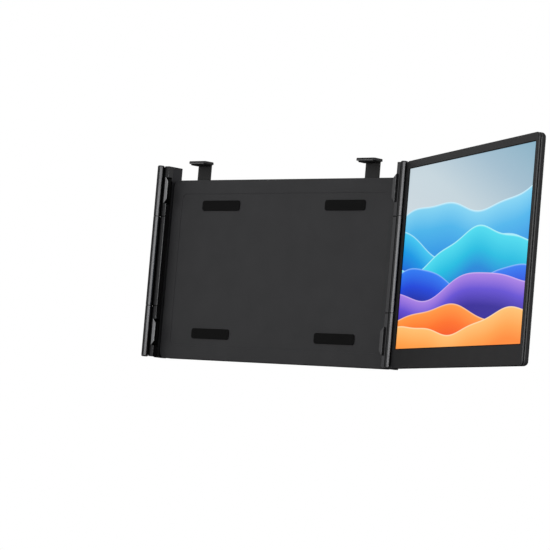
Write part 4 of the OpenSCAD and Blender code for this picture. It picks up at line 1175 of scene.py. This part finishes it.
# ---------- Buttons ----------
# Three small stadium-shaped keys of dark plastic on the side of the electronics housing, with
# rounded rims, and a printed minus, plus and power mark on the housing's back beside them.
key_grey = (0.030, 0.030, 0.032, 1)
print_grey = (0.30, 0.30, 0.31, 1)
key_edge = 0.35
housing_side, housing_rear, key_out = 339.6, 15.7, 0.9
key_heights = {"minus": 80, "plus": 91, "power": 102}
mark_from_side = 7
mark_stroke, mark_arm, ink = 0.5, 1.5, 0.03
power_bar_up, power_bar_half = 1.0, 0.9
ring_start = math.radians(50)
ring_steps = 40
key_plastic = matt_plastic("key_plastic", key_grey, grain=0.3, roughness=0.4, specular=0.3)
print_ink = matt_plastic("print_ink", print_grey, grain=0.2, relief=0.05, roughness=0.5, specular=0.2)

for name in key_heights:
    key = merged_copy(f"{name}_button", f"{name}_key")
    ease(key, lambda p: near(in_display(p).x, housing_side + key_out, turned_reach), key_edge)
    finish(key, key_plastic)
    put_in_place_of(f"{name}_button", key)


def stroke(x, z, half_x, half_z):
    """One printed bar about a centre on the housing's back."""
    return block("stroke", (x - half_x, housing_rear, z - half_z),
                 (x + half_x, housing_rear + ink, z + half_z))


def grow(piece, way, length, height=None):
    """Draws out the faces of a mark that point one way, only at one height where it is given."""
    activate(piece)
    bpy.ops.object.mode_set(mode="EDIT")
    pick(piece, "faces", lambda f: points(f, way) and (height is None or near(middle_of(f).z, height)))
    draw_out(Vector(way) * length)
    bpy.ops.object.mode_set(mode="OBJECT")


def open_ring(x, z, radius):
    """A square of ink swept round a centre, open at its top, for the power mark."""
    centre = Vector((x, housing_rear + ink / 2, z)) * mm
    start = centre + Vector((math.cos(ring_start), 0, math.sin(ring_start))) * radius * mm
    bpy.ops.object.select_all(action="DESELECT")
    bpy.ops.mesh.primitive_plane_add(size=1, location=start, rotation=(0, -ring_start, 0))
    ring = bpy.context.object
    ring.scale = (mark_stroke * mm, ink * mm, 1)
    bpy.ops.object.transform_apply(location=True, rotation=True, scale=True)
    bpy.ops.object.mode_set(mode="EDIT")
    bpy.ops.mesh.select_all(action="SELECT")
    bpy.ops.mesh.spin(steps=ring_steps, angle=math.pi + 2 * ring_start, center=centre, axis=(0, 1, 0))
    bpy.ops.mesh.select_all(action="SELECT")
    bpy.ops.mesh.normals_make_consistent(inside=False)
    bpy.ops.object.mode_set(mode="OBJECT")
    return ring


mark_x = housing_side - mark_from_side
half = mark_stroke / 2
arm = mark_arm - half
minus_mark = stroke(mark_x, key_heights["minus"], half, half)
plus_mark = stroke(mark_x, key_heights["plus"], half, half)
for way in ((0, 0, 1), (0, 0, -1)):
    grow(plus_mark, way, arm)
for way in ((1, 0, 0), (-1, 0, 0)):
    grow(minus_mark, way, arm)
    grow(plus_mark, way, arm, key_heights["plus"])
power_bar = stroke(mark_x, key_heights["power"] + power_bar_up, half, power_bar_half)
power_ring = open_ring(mark_x, key_heights["power"], arm)
marks = one_piece("button_marks", [minus_mark, plus_mark, power_ring, power_bar])
place_on_display(marks)
finish(marks, print_ink)
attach(marks, "display")
